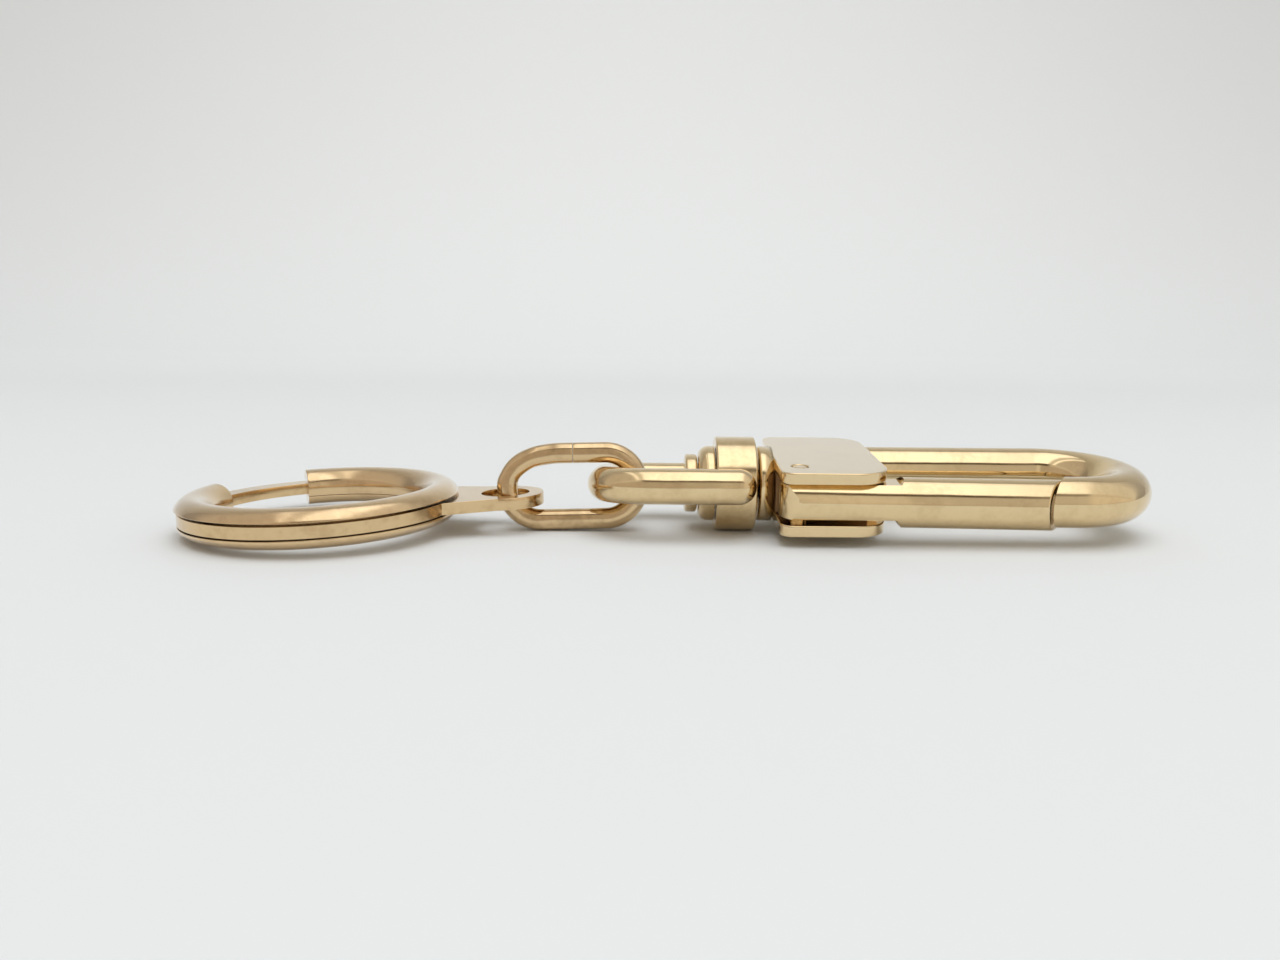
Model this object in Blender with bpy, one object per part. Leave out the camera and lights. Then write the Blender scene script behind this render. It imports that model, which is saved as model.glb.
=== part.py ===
"""Key ring: a flat lug ring in a turning sleeve, an oval link, a swivel bail and a sprung clasp.

Lengths are metres and +Z is up. The clasp lies along +X, with its opening to -Y, and the ring lies
beyond the link at -X. The drawing origin is on the swivel axis, at the collar's right face, and the
drawing is level with the clasp. An empty carries it: it rolls the clasp forwards on its collar, so
that the ring lies flat, and puts the world origin at the middle of the whole object's base.
"""

import math

import bmesh
import bpy
from mathutils import Matrix, Vector

MM = 0.001

# Ring
RING_MEAN_RADIUS = 12.6 * MM
SLEEVE_RADIUS = 2.0 * MM
SLEEVE_SEAM_DROP = 0.84 * MM
SLEEVE_WALL = 1.2 * MM
SLEEVE_GAP_START = math.radians(109)
SLEEVE_GAP_END = math.radians(160.8)
SLEEVE_LIP = 1.65 * MM
PLATE_THICKNESS = 1.25 * MM
PLATE_WIDTH = 2.3 * MM
PLATE_OPENING = 5.0 * MM
PLATE_OPENING_ANGLE = math.radians(58)
LUG_HOLE_REACH = 19.4 * MM
LUG_HOLE_RADIUS = 2.55 * MM
LUG_RIM = 1.5 * MM
LUG_ROOT_WIDTH = 10.6 * MM

# Oval link
LINK_LENGTH = 16.13 * MM
LINK_HEIGHT = 9.24 * MM
LINK_CORNER = 3.48 * MM
LINK_WIRE = 2.2 * MM
LINK_WIRE_CORNER = 0.9 * MM
LINK_SEAM_SHIFT = 0.1 * MM

# Bail and swivel
BAIL_RADIUS = 1.85 * MM
BAIL_SPREAD = 6.1 * MM
BAIL_LENGTH = 17.7 * MM
BAIL_CORNER = 4.6 * MM
COLLAR_RADIUS = 5.0 * MM
COLLAR_LENGTH = 4.2 * MM
WASHER_RADIUS = 4.0 * MM
WASHER_THICKNESS = 1.7 * MM
WASHER_RIM = 0.6 * MM
POST_RADIUS = 1.5 * MM
POST_HEAD_RADIUS = 3.1 * MM
POST_HEAD_LENGTH = 1.3 * MM
POST_SPIGOT = 2.6 * MM
NECK_RADIUS = 4.0 * MM
NECK_LENGTH = 1.51 * MM

# Clasp
CHEEK_LENGTH = 10.95 * MM
CHEEK_WIDTH = 19.4 * MM
CHEEK_THICKNESS = 1.2 * MM
CHEEK_SPACE = 4.16 * MM
CHEEK_NOSE_CORNER = 3.4 * MM
CHEEK_NECK_CORNER = 1.3 * MM
CORE_SETBACK = 0.6 * MM
BAR_RADIUS = 2.6 * MM
BAR_SPREAD = 7.4 * MM
CLASP_REACH = 42.0 * MM
GATE_SAG = 0.33 * MM
GATE_ROOT_RADIUS = 2.53 * MM
GATE_HEEL = 1.9 * MM
GATE_SHOULDER = 1.45 * MM
GATE_TOP_FLAT = 1.95 * MM
GATE_BASE_FLAT = 1.5 * MM
GATE_END = 30.3 * MM
GATE_END_SLANT = math.radians(34)
GATE_STOP_ANGLE = math.radians(20.5)
MILL_RADIUS = 3.2 * MM
MILL_HALF_WIDTH = 3.04 * MM
PIVOT_RADIUS = 0.85 * MM
PIVOT_INSET = 1.1 * MM
PIVOT_FROM_HEEL = 2.1 * MM

# Gate spring
SPRING_RADIUS = 0.85 * MM
SPRING_WIRE = 0.36 * MM
SPRING_TURNS = 6
SPRING_FROM_PIVOT = 4.0 * MM
SPRING_POCKET_DEPTH = 4.0 * MM
SPRING_SEAT_DEPTH = 0.5 * MM

# Clearances
SEAM_GAP = 0.04 * MM
RUNNING_GAP = 0.06 * MM
TURNING_GAP = 0.1 * MM
SLOT_HEADROOM = 0.3 * MM
NECK_GAP = 0.3 * MM
LINK_GAP = 0.55 * MM
TIP_GAP = 0.3 * MM
EDGE = 0.2 * MM

# Rest pose
CLASP_ROLL = math.radians(3.5)
RING_PITCH = math.radians(-2.1)
RING_ROLL = -CLASP_ROLL
RING_YAW = math.radians(4.0)
BAIL_ROLL = math.radians(-9.3)
LINK_PITCH = math.radians(-1.5)
LINK_SAG = 0.27 * MM
LINK_SIDE_SHIFT = -0.9 * MM
LUG_BELOW_MIDDLE = 1.22 * MM
LUG_HOLE_SHIFT = (-0.44 * MM, 0.2 * MM)

# Facets
BAR_SIDES = 20
BEND_STEPS = 16
RING_STEPS = 56
TURNED_STEPS = 40
SECTION_STEPS = 14
CORNER_STEPS = 5
HOLE_SIDES = 24
SPRING_POINTS = 10

GOLD = (0.83, 0.62, 0.30)
STEEL = (0.55, 0.56, 0.58)


def clear_scene():
    """Empties the scene of whatever it held."""
    for old in list(bpy.data.objects):
        bpy.data.objects.remove(old, do_unlink=True)


def metal(name, colour, roughness):
    """A metal with one Principled shader."""
    made = bpy.data.materials.new(name)
    made.use_nodes = True
    shader = made.node_tree.nodes["Principled BSDF"]
    shader.inputs["Base Color"].default_value = (*colour, 1.0)
    shader.inputs["Roughness"].default_value = roughness
    shader.inputs["Metallic"].default_value = 1.0
    return made


def empty(name, parent=None, place=(0.0, 0.0, 0.0), turn=None):
    """A frame that pieces hang from."""
    made = bpy.data.objects.new(name, None)
    bpy.context.scene.collection.objects.link(made)
    made.parent = parent
    made.matrix_local = Matrix.Translation(place) @ (turn or Matrix.Identity(4))
    return made


def piece(name, bm, finish, parent, smooth=True):
    """Turns a bmesh into an object of one material."""
    bmesh.ops.remove_doubles(bm, verts=bm.verts, dist=0.0005 * MM)
    bmesh.ops.recalc_face_normals(bm, faces=bm.faces)
    mesh = bpy.data.meshes.new(name)
    bm.to_mesh(mesh)
    bm.free()
    if smooth:
        mesh.shade_smooth()
        mesh.set_sharp_from_angle(angle=math.radians(35))
    mesh.materials.append(finish)
    made = bpy.data.objects.new(name, mesh)
    made.parent = parent
    bpy.context.scene.collection.objects.link(made)
    return made


def combine(target, bm, operation, label):
    """Cuts, joins or trims a piece by a hidden helper drawn in the same frame."""
    helper = piece(f"{target.name}_{label}", bm, target.data.materials[0], target.parent, smooth=False)
    helper.hide_render = True
    helper.display_type = "WIRE"
    modifier = target.modifiers.new(label, "BOOLEAN")
    modifier.operation = operation
    modifier.solver = "EXACT"
    modifier.object = helper
    return helper


def disc(bm, radius, place, normal, sides):
    """A round face that starts a bar."""
    turn = Vector((0, 0, 1)).rotation_difference(Vector(normal)).to_matrix().to_4x4()
    made = bmesh.ops.create_circle(
        bm, cap_ends=True, radius=radius, segments=sides, matrix=Matrix.Translation(place) @ turn
    )
    return made["verts"][0].link_faces[0]


def outline(bm, points):
    """A flat face through the points."""
    return bm.faces.new([bm.verts.new(point) for point in points])


def run(bm, face, step, scale=1.0):
    """Extrudes a face by a straight step, and may draw it in."""
    made = bmesh.ops.extrude_face_region(bm, geom=[face, *face.edges, *face.verts])
    end = next(item for item in made["geom"] if isinstance(item, bmesh.types.BMFace))
    middle = end.calc_center_median()
    for vert in end.verts:
        vert.co = middle + (vert.co - middle) * scale + Vector(step)
    return end


def bend(bm, face, centre, axis, angle, steps):
    """Sweeps a face round an axis."""
    made = bmesh.ops.spin(
        bm, geom=[face, *face.edges, *face.verts], cent=centre, axis=axis, angle=angle, steps=steps
    )
    return next(item for item in made["geom_last"] if isinstance(item, bmesh.types.BMFace))


def turned(profile, axis, steps):
    """A full turn of a closed profile, or of an open one whose ends lie on the axis."""
    bm = bmesh.new()
    verts = [bm.verts.new(point) for point in profile]
    edges = [bm.edges.new(pair) for pair in zip(verts, verts[1:])]
    if min(Vector(point).cross(Vector(axis)).length for point in profile) > 0.001 * MM:
        edges.append(bm.edges.new((verts[-1], verts[0])))
    bmesh.ops.spin(
        bm, geom=verts + edges, cent=(0, 0, 0), axis=axis, angle=math.tau, steps=steps, use_merge=True
    )
    return bm


def prism(points, low, high):
    """An upright block on a plan outline."""
    bm = bmesh.new()
    face = outline(bm, [(x, y, low) for x, y in points])
    run(bm, face, (0, 0, high - low))
    return bm


def rod(radius, start, end, sides=HOLE_SIDES):
    """A straight round rod, used as a pin or to bore a hole."""
    bm = bmesh.new()
    along = Vector(end) - Vector(start)
    run(bm, disc(bm, radius, start, along, sides), along)
    return bm


def arc(centre, radius, start, end, steps):
    """Plan points along an arc, both ends included."""
    angles = [start + (end - start) * step / steps for step in range(steps + 1)]
    return [(centre[0] + radius * math.cos(a), centre[1] + radius * math.sin(a)) for a in angles]


# Derived sizes of the ring
SLOT_FLOOR = -SLEEVE_SEAM_DROP
PLATE_BASE = SLOT_FLOOR + TURNING_GAP
PLATE_TOP = PLATE_BASE + PLATE_THICKNESS
SLOT_ROOF = PLATE_TOP + SLOT_HEADROOM
SLOT_WALL = RING_MEAN_RADIUS - SLEEVE_RADIUS + SLEEVE_WALL
PLATE_INNER = SLOT_WALL + TURNING_GAP
PLATE_OUTER = PLATE_INNER + PLATE_WIDTH
LUG_END_RADIUS = LUG_HOLE_RADIUS + LUG_RIM

# Derived sizes of the clasp, along its axis
NECK_START = NECK_GAP
NECK_END = NECK_START + NECK_LENGTH
CHEEK_START = NECK_END + SEAM_GAP
CHEEK_END = CHEEK_START + CHEEK_LENGTH
CHEEK_INNER = CHEEK_SPACE / 2
CHEEK_OUTER = CHEEK_INNER + CHEEK_THICKNESS
BEND_CENTRE_X = CLASP_REACH - BAR_RADIUS - BAR_SPREAD
PIVOT_X = GATE_HEEL + PIVOT_FROM_HEEL
PIVOT_Y = -BAR_SPREAD + PIVOT_INSET
SHOULDER_X = CHEEK_END + GATE_SHOULDER
SPRING_X = PIVOT_X + SPRING_FROM_PIVOT
GATE_FACE = -BAR_SPREAD + GATE_ROOT_RADIUS
CORE_FRONT = GATE_FACE + TURNING_GAP * 2

# Derived places of the link, the bail and the lug
BAIL_BAR_X = -BAIL_LENGTH + BAIL_RADIUS
BAIL_BEND_X = BAIL_BAR_X + BAIL_CORNER
LINK_HALF_RISE = (LINK_HEIGHT - LINK_WIRE) / 2
LINK_END = BAIL_BAR_X + BAIL_RADIUS + LINK_GAP + LINK_WIRE
LINK_RIGHT_X = LINK_END - LINK_WIRE / 2 - LINK_CORNER
LINK_LEFT_X = LINK_END - LINK_LENGTH + LINK_WIRE / 2 + LINK_CORNER
LUG_LEVEL = LUG_BELOW_MIDDLE - (LINK_HALF_RISE - LINK_CORNER)
LUG_PIVOT_X = LINK_LEFT_X - math.sqrt(LINK_CORNER**2 - LUG_LEVEL**2)


def section_width(height):
    """Half the width of the sleeve's round section at a height."""
    return math.sqrt(SLEEVE_RADIUS**2 - height**2)


def sleeve(name, points, finish, parent):
    """Sweeps a section from one end of the sleeve's gap round to the other."""
    bm = bmesh.new()
    face = outline(bm, [(x, 0.0, z) for x, z in points])
    bmesh.ops.rotate(bm, verts=bm.verts, cent=(0, 0, 0), matrix=Matrix.Rotation(SLEEVE_GAP_END, 3, "Z"))
    turn = math.tau - (SLEEVE_GAP_END - SLEEVE_GAP_START)
    bend(bm, face, (0, 0, 0), (0, 0, 1), turn, RING_STEPS)
    return piece(name, bm, finish, parent)


def ring_sleeve_upper(finish, parent):
    """The larger part of the sleeve, rebated from below for the flat ring."""
    roof = math.atan2(SLOT_ROOF, section_width(SLOT_ROOF))
    foot = math.pi + math.asin(SLEEVE_SEAM_DROP / SLEEVE_RADIUS)
    points = arc((RING_MEAN_RADIUS, 0.0), SLEEVE_RADIUS, roof, foot, SECTION_STEPS)
    points += [(SLOT_WALL, SLOT_FLOOR), (SLOT_WALL, SLOT_ROOF)]
    return sleeve("ring_sleeve_upper", points, finish, parent)


def ring_sleeve_lower(finish, parent):
    """The closing strip under the flat ring, with its outer lip cut back."""
    top = SLOT_FLOOR - SEAM_GAP
    start = math.pi + math.asin(-top / SLEEVE_RADIUS)
    end = math.tau - math.acos(SLEEVE_LIP / SLEEVE_RADIUS)
    points = arc((RING_MEAN_RADIUS, 0.0), SLEEVE_RADIUS, start, end, SECTION_STEPS // 2 + 1)
    points.append((RING_MEAN_RADIUS + SLEEVE_LIP, top))
    return sleeve("ring_sleeve_lower", points, finish, parent)


def lug_outline():
    """The lug's plan: a round end about its hole, flared to its root on the flat ring."""
    root = PLATE_OUTER - PLATE_WIDTH / 2
    half = LUG_ROOT_WIDTH / 2
    flare = math.atan2(half - LUG_END_RADIUS, LUG_HOLE_REACH - root)
    side = math.pi / 2 + flare
    end = arc((LUG_HOLE_REACH, 0.0), LUG_END_RADIUS, -side, side, CORNER_STEPS * 3)
    reach = math.sqrt(PLATE_OUTER**2 - half**2) - PLATE_WIDTH / 2
    return end + [(reach, half), (reach, -half)]


def ring_plate(finish, parent):
    """The flat ring with its lug and its hidden opening for keys."""
    bm = bmesh.new()
    face = outline(
        bm,
        [
            (PLATE_INNER, 0, PLATE_BASE),
            (PLATE_OUTER, 0, PLATE_BASE),
            (PLATE_OUTER, 0, PLATE_TOP),
            (PLATE_INNER, 0, PLATE_TOP),
        ],
    )
    half_gap = math.asin(PLATE_OPENING / 2 / PLATE_INNER)
    start = Matrix.Rotation(PLATE_OPENING_ANGLE + half_gap, 3, "Z")
    bmesh.ops.rotate(bm, verts=bm.verts, cent=(0, 0, 0), matrix=start)
    bend(bm, face, (0, 0, 0), (0, 0, 1), math.tau - 2 * half_gap, RING_STEPS)
    made = piece("ring_plate", bm, finish, parent)
    combine(made, prism(lug_outline(), PLATE_BASE, PLATE_TOP), "UNION", "lug")
    low = (LUG_HOLE_REACH, 0, PLATE_BASE - PLATE_THICKNESS)
    high = (LUG_HOLE_REACH, 0, PLATE_TOP + PLATE_THICKNESS)
    combine(made, rod(LUG_HOLE_RADIUS, low, high), "DIFFERENCE", "hole")
    return made


def link_section(x, z):
    """The link wire's section: a square with well rounded corners, its middle at x and z."""
    flat = LINK_WIRE / 2 - LINK_WIRE_CORNER
    points = []
    for quarter in range(4):
        middle = Matrix.Rotation(quarter * math.pi / 2, 2) @ Vector((flat, flat))
        start = quarter * math.pi / 2
        points += arc(middle, LINK_WIRE_CORNER, start, start + math.pi / 2, 2)
    return [(x, y, z + across - LINK_SAG) for y, across in points]


def oval_link(finish, parent):
    """The chain link: a bent wire whose ends butt on its top side."""
    bm = bmesh.new()
    top = LINK_HALF_RISE
    side = LINK_HALF_RISE - LINK_CORNER
    seam = (LINK_LEFT_X + LINK_RIGHT_X) / 2 + LINK_SEAM_SHIFT - BAIL_BAR_X
    left = LINK_LEFT_X - BAIL_BAR_X
    right = LINK_RIGHT_X - BAIL_BAR_X
    face = outline(bm, link_section(seam + SEAM_GAP / 2, top))
    face = run(bm, face, (right - seam - SEAM_GAP / 2, 0, 0))
    for x, towards in ((right, -1), (left, 1)):
        first = (x, 0, -side * towards - LINK_SAG)
        second = (x, 0, side * towards - LINK_SAG)
        face = bend(bm, face, first, (0, 1, 0), math.pi / 2, BEND_STEPS // 2)
        face = run(bm, face, (0, 0, 2 * side * towards))
        face = bend(bm, face, second, (0, 1, 0), math.pi / 2, BEND_STEPS // 2)
        if towards < 0:
            face = run(bm, face, (left - right, 0, 0))
    run(bm, face, (seam - left - SEAM_GAP / 2, 0, 0))
    return piece("oval_link", bm, finish, parent)


def round_end(bm, face, direction, radius):
    """Closes a bar with a domed end."""
    steps = 4
    size, height = 1.0, 0.0
    for step in range(1, steps + 1):
        angle = step / steps * math.radians(80)
        new_size, new_height = math.cos(angle), math.sin(angle)
        face = run(bm, face, Vector(direction) * radius * (new_height - height), new_size / size)
        size, height = new_size, new_height


def bail(finish, parent):
    """The U-shaped bail, hollowed where its legs are soldered to the collar."""
    bm = bmesh.new()
    leg_end = -COLLAR_LENGTH / 2
    start = disc(bm, BAIL_RADIUS, (leg_end, -BAIL_SPREAD, 0), (1, 0, 0), BAR_SIDES)
    face = run(bm, start, (BAIL_BEND_X - leg_end, 0, 0))
    straight = BAIL_SPREAD - BAIL_CORNER
    face = bend(bm, face, (BAIL_BEND_X, -straight, 0), (0, 0, 1), -math.pi / 2, BEND_STEPS // 2)
    face = run(bm, face, (0, 2 * straight, 0))
    face = bend(bm, face, (BAIL_BEND_X, straight, 0), (0, 0, 1), -math.pi / 2, BEND_STEPS // 2)
    face = run(bm, face, (leg_end - BAIL_BEND_X, 0, 0))
    round_end(bm, face, (1, 0, 0), BAIL_RADIUS)
    first = [f for f in bm.faces if len(f.verts) == BAR_SIDES and f.calc_center_median().y < 0]
    round_end(bm, first[0], (1, 0, 0), BAIL_RADIUS)
    made = piece("bail", bm, finish, parent)
    beyond = COLLAR_LENGTH + BAIL_RADIUS
    seat = rod(COLLAR_RADIUS + SEAM_GAP, (-beyond, 0, 0), (beyond, 0, 0), TURNED_STEPS)
    combine(made, seat, "DIFFERENCE", "collar_seat")
    return made


def swivel_collar(finish, parent):
    """The drum that turns on the post."""
    bore = POST_RADIUS + RUNNING_GAP
    profile = [
        (-COLLAR_LENGTH, 0, bore),
        (-COLLAR_LENGTH, 0, COLLAR_RADIUS - EDGE),
        (-COLLAR_LENGTH + EDGE, 0, COLLAR_RADIUS),
        (-EDGE, 0, COLLAR_RADIUS),
        (0, 0, COLLAR_RADIUS - EDGE),
        (0, 0, bore),
    ]
    return piece("swivel_collar", turned(profile, (1, 0, 0), TURNED_STEPS), finish, parent)


def swivel_washer(finish, parent):
    """The domed washer between the collar and the post's head."""
    flat = -COLLAR_LENGTH - TURNING_GAP
    bore = POST_RADIUS + RUNNING_GAP
    rise = WASHER_THICKNESS - WASHER_RIM
    dome = [
        (flat - WASHER_RIM - rise * math.sin(a), 0, WASHER_RADIUS - rise * (1 - math.cos(a)))
        for a in (math.radians(15 * step) for step in range(7))
    ]
    profile = [(flat, 0, bore), (flat, 0, WASHER_RADIUS), *dome, (flat - WASHER_THICKNESS, 0, bore)]
    return piece("swivel_washer", turned(profile, (1, 0, 0), TURNED_STEPS), finish, parent)


def swivel_post(finish, parent):
    """The riveted post: head, shaft, neck and the spigot in the core."""
    head_end = -COLLAR_LENGTH - 2 * TURNING_GAP - WASHER_THICKNESS
    head_start = head_end - POST_HEAD_LENGTH
    profile = [
        (head_start, 0, 0),
        (head_start, 0, POST_HEAD_RADIUS - 2 * EDGE),
        (head_start + 2 * EDGE, 0, POST_HEAD_RADIUS),
        (head_end - EDGE, 0, POST_HEAD_RADIUS),
        (head_end, 0, POST_HEAD_RADIUS - EDGE),
        (head_end, 0, POST_RADIUS),
        (NECK_START, 0, POST_RADIUS),
        (NECK_START, 0, NECK_RADIUS - EDGE),
        (NECK_START + EDGE, 0, NECK_RADIUS),
        (NECK_END - EDGE, 0, NECK_RADIUS),
        (NECK_END, 0, NECK_RADIUS - EDGE),
        (NECK_END, 0, POST_RADIUS),
        (NECK_END + POST_SPIGOT, 0, POST_RADIUS),
        (NECK_END + POST_SPIGOT, 0, 0),
    ]
    return piece("swivel_post", turned(profile, (1, 0, 0), TURNED_STEPS), finish, parent)


def cheek_outline():
    """The plan of a cheek plate, counterclockwise from its front corner by the neck."""
    half = CHEEK_WIDTH / 2
    neck_x = CHEEK_START + CHEEK_NECK_CORNER
    neck_y = half - CHEEK_NECK_CORNER
    nose_x = CHEEK_END - CHEEK_NOSE_CORNER
    nose_y = half - CHEEK_NOSE_CORNER
    corners = (
        (neck_x, -neck_y, CHEEK_NECK_CORNER, math.pi),
        (nose_x, -nose_y, CHEEK_NOSE_CORNER, 1.5 * math.pi),
        (nose_x, nose_y, CHEEK_NOSE_CORNER, 0.0),
        (neck_x, neck_y, CHEEK_NECK_CORNER, 0.5 * math.pi),
    )
    points = []
    for x, y, radius, start in corners:
        points += arc((x, y), radius, start, start + math.pi / 2, CORNER_STEPS)
    return points


def cheek(name, low, finish, parent):
    """A cheek plate with the hole that the gate's pivot is riveted in."""
    made = piece(name, prism(cheek_outline(), low, low + CHEEK_THICKNESS), finish, parent)
    start = (PIVOT_X, PIVOT_Y, low - CHEEK_THICKNESS)
    end = (PIVOT_X, PIVOT_Y, low + 2 * CHEEK_THICKNESS)
    combine(made, rod(PIVOT_RADIUS + SEAM_GAP, start, end), "DIFFERENCE", "pivot_hole")
    return made


def clasp_core(finish, parent):
    """The block between the cheeks: it holds the post, backs the spring and stops the gate."""
    left = CHEEK_START + SEAM_GAP
    right = CHEEK_END - CORE_SETBACK
    back = BAR_SPREAD - BAR_RADIUS - SEAM_GAP
    slope_end = CORE_FRONT + (right - PIVOT_X) * math.tan(GATE_STOP_ANGLE)
    points = [(left, CORE_FRONT), (PIVOT_X, CORE_FRONT), (right, slope_end), (right, back), (left, back)]
    half = CHEEK_INNER - SEAM_GAP
    made = piece("clasp_core", prism(points, -half, half), finish, parent, smooth=False)
    spigot = rod(POST_RADIUS + SEAM_GAP, (0, 0, 0), (NECK_END + POST_SPIGOT + TURNING_GAP, 0, 0))
    combine(made, spigot, "DIFFERENCE", "post_hole")
    floor = spring_floor()
    pocket = rod(
        SPRING_RADIUS + SPRING_WIRE, (SPRING_X, -BAR_SPREAD, 0), (SPRING_X, floor, 0), HOLE_SIDES
    )
    combine(made, pocket, "DIFFERENCE", "spring_pocket")
    return made


def spring_floor():
    """Where the spring's pocket in the core ends."""
    mouth = CORE_FRONT + (SPRING_X - PIVOT_X) * math.tan(GATE_STOP_ANGLE)
    return mouth + SPRING_POCKET_DEPTH


def hook(finish, parent):
    """The fixed bar: root between the cheeks, spine, bend and nose."""
    bm = bmesh.new()
    root = CHEEK_START + SEAM_GAP
    face = disc(bm, BAR_RADIUS, (root, BAR_SPREAD, 0), (1, 0, 0), BAR_SIDES)
    face = run(bm, face, (BEND_CENTRE_X - root, 0, 0))
    face = bend(bm, face, (BEND_CENTRE_X, 0, 0), (0, 0, 1), -math.pi, BEND_STEPS)
    run(bm, face, (GATE_END - BEND_CENTRE_X - 2 * BAR_RADIUS, 0, 0))
    made = piece("hook", bm, finish, parent)
    combine(made, root_flats(CHEEK_END + SEAM_GAP, CHEEK_INNER - SEAM_GAP), "DIFFERENCE", "flats")
    combine(made, beyond_seam(-1, TIP_GAP / 2), "DIFFERENCE", "nose_cut")
    return made


def root_flats(end, half):
    """Two slabs that leave the hook's root flat above and below."""
    bm = prism(flat_plan(end, BAR_SPREAD), half, 2 * BAR_RADIUS)
    face = outline(bm, [(x, y, -half) for x, y in flat_plan(end, BAR_SPREAD)])
    run(bm, face, (0, 0, half - 2 * BAR_RADIUS))
    return bm


def flat_plan(end, middle):
    """The plan of a milled flat, from beyond the bar's root to a square end."""
    return [
        (-BAR_RADIUS, middle - 2 * BAR_RADIUS),
        (end, middle - 2 * BAR_RADIUS),
        (end, middle + 2 * BAR_RADIUS),
        (-BAR_RADIUS, middle + 2 * BAR_RADIUS),
    ]


def milled_plan(end):
    """The plan of a flat on the gate, ended by the round side of the cutter."""
    half = math.asin(MILL_HALF_WIDTH / MILL_RADIUS)
    points = arc((end - MILL_RADIUS, -BAR_SPREAD), MILL_RADIUS, -half, half, CORNER_STEPS * 2)
    top, base = points[-1][1], points[0][1]
    return [(-BAR_RADIUS, base), *points, (-BAR_RADIUS, top)]


def beyond_seam(side, gap):
    """A block whose slanted face stands a gap away from the seam of gate and nose."""
    along = Vector((math.cos(GATE_END_SLANT), -math.sin(GATE_END_SLANT)))
    across = Vector((math.sin(GATE_END_SLANT), math.cos(GATE_END_SLANT)))
    near = Vector((GATE_END, -BAR_SPREAD)) + along * gap * -side
    far = near + along * 4 * BAR_RADIUS * side
    wide = across * 2 * BAR_RADIUS
    points = [near - wide, far - wide, far + wide, near + wide]
    return prism([tuple(point) for point in points], -2 * BAR_RADIUS, 2 * BAR_RADIUS)


def gate(finish, parent):
    """The sprung gate: a round bar with a thinned tongue on the pivot, its free end sagging a little."""
    bm = bmesh.new()
    reach = GATE_END + 2 * BAR_RADIUS
    length = reach - GATE_HEEL
    sag = GATE_SAG * length / (GATE_END - GATE_HEEL)
    face = disc(bm, GATE_ROOT_RADIUS, (GATE_HEEL, -BAR_SPREAD, 0), (1, 0, 0), BAR_SIDES)
    run(bm, face, (length, 0, -sag), BAR_RADIUS / GATE_ROOT_RADIUS)
    made = piece("gate", bm, finish, parent)
    heel = (GATE_HEEL + BAR_RADIUS, -BAR_SPREAD)
    plan = arc(heel, BAR_RADIUS, math.pi / 2, 1.5 * math.pi, CORNER_STEPS * 2)
    plan += [(reach + BAR_RADIUS, heel[1] - BAR_RADIUS), (reach + BAR_RADIUS, heel[1] + BAR_RADIUS)]
    combine(made, prism(plan, -2 * BAR_RADIUS, 2 * BAR_RADIUS), "INTERSECT", "round_heel")
    above = prism(milled_plan(SHOULDER_X), GATE_TOP_FLAT, 2 * BAR_RADIUS)
    combine(made, above, "DIFFERENCE", "top_flat")
    below = prism(milled_plan(SHOULDER_X), -2 * BAR_RADIUS, -GATE_BASE_FLAT)
    combine(made, below, "DIFFERENCE", "base_flat")
    combine(made, beyond_seam(1, TIP_GAP / 2), "DIFFERENCE", "tip_cut")
    low, high = (PIVOT_X, PIVOT_Y, -BAR_SPREAD), (PIVOT_X, PIVOT_Y, BAR_SPREAD)
    combine(made, rod(PIVOT_RADIUS + RUNNING_GAP, low, high), "DIFFERENCE", "pivot_hole")
    seat = rod(
        SPRING_RADIUS + SPRING_WIRE,
        (SPRING_X, GATE_FACE - SPRING_SEAT_DEPTH, 0),
        (SPRING_X, GATE_FACE + BAR_RADIUS, 0),
    )
    combine(made, seat, "DIFFERENCE", "spring_seat")
    return made


def gate_pivot_pin(finish, parent):
    """The pin that the gate turns on, riveted flush with both cheeks."""
    half = CHEEK_OUTER - SEAM_GAP
    bm = rod(PIVOT_RADIUS, (PIVOT_X, PIVOT_Y, -half), (PIVOT_X, PIVOT_Y, half))
    return piece("gate_pivot_pin", bm, finish, parent)


def spring_points(start, end):
    """Points along the spring's wire, wound about the Y direction."""
    count = SPRING_TURNS * SPRING_POINTS
    radius = SPRING_RADIUS
    found = []
    for step in range(count + 1):
        angle = math.tau * step / SPRING_POINTS
        place = start + (end - start) * step / count
        found.append(Vector((SPRING_X + radius * math.cos(angle), place, radius * math.sin(angle))))
    return found


def least_gap(points):
    """The least distance between two turns of a wound wire, less the wire."""
    apart = SPRING_POINTS // 2
    return min(
        (points[i] - points[j]).length
        for i in range(len(points))
        for j in range(i + apart, len(points))
    ) - SPRING_WIRE


def gate_spring(finish, parent):
    """The compression spring that shuts the gate."""
    start = GATE_FACE - SPRING_SEAT_DEPTH + SPRING_WIRE
    end = spring_floor() - SPRING_WIRE
    points = spring_points(start, end)
    print(f"gate_spring least gap to itself: {least_gap(points) / MM:.2f} mm")
    curve = bpy.data.curves.new("gate_spring", "CURVE")
    curve.dimensions = "3D"
    curve.bevel_depth = SPRING_WIRE / 2
    curve.bevel_resolution = 1
    curve.use_fill_caps = True
    spline = curve.splines.new("POLY")
    spline.points.add(len(points) - 1)
    for target, point in zip(spline.points, points):
        target.co = (*point, 1.0)
    curve.materials.append(finish)
    made = bpy.data.objects.new("gate_spring", curve)
    made.parent = parent
    bpy.context.scene.collection.objects.link(made)
    return made


def ring_turn():
    """How the ring lies: turned towards the link, and a little tilted."""
    roll = Matrix.Rotation(RING_ROLL, 4, "X")
    pitch = Matrix.Rotation(RING_PITCH, 4, "Y")
    return roll @ pitch @ Matrix.Rotation(RING_YAW, 4, "Z")


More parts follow.
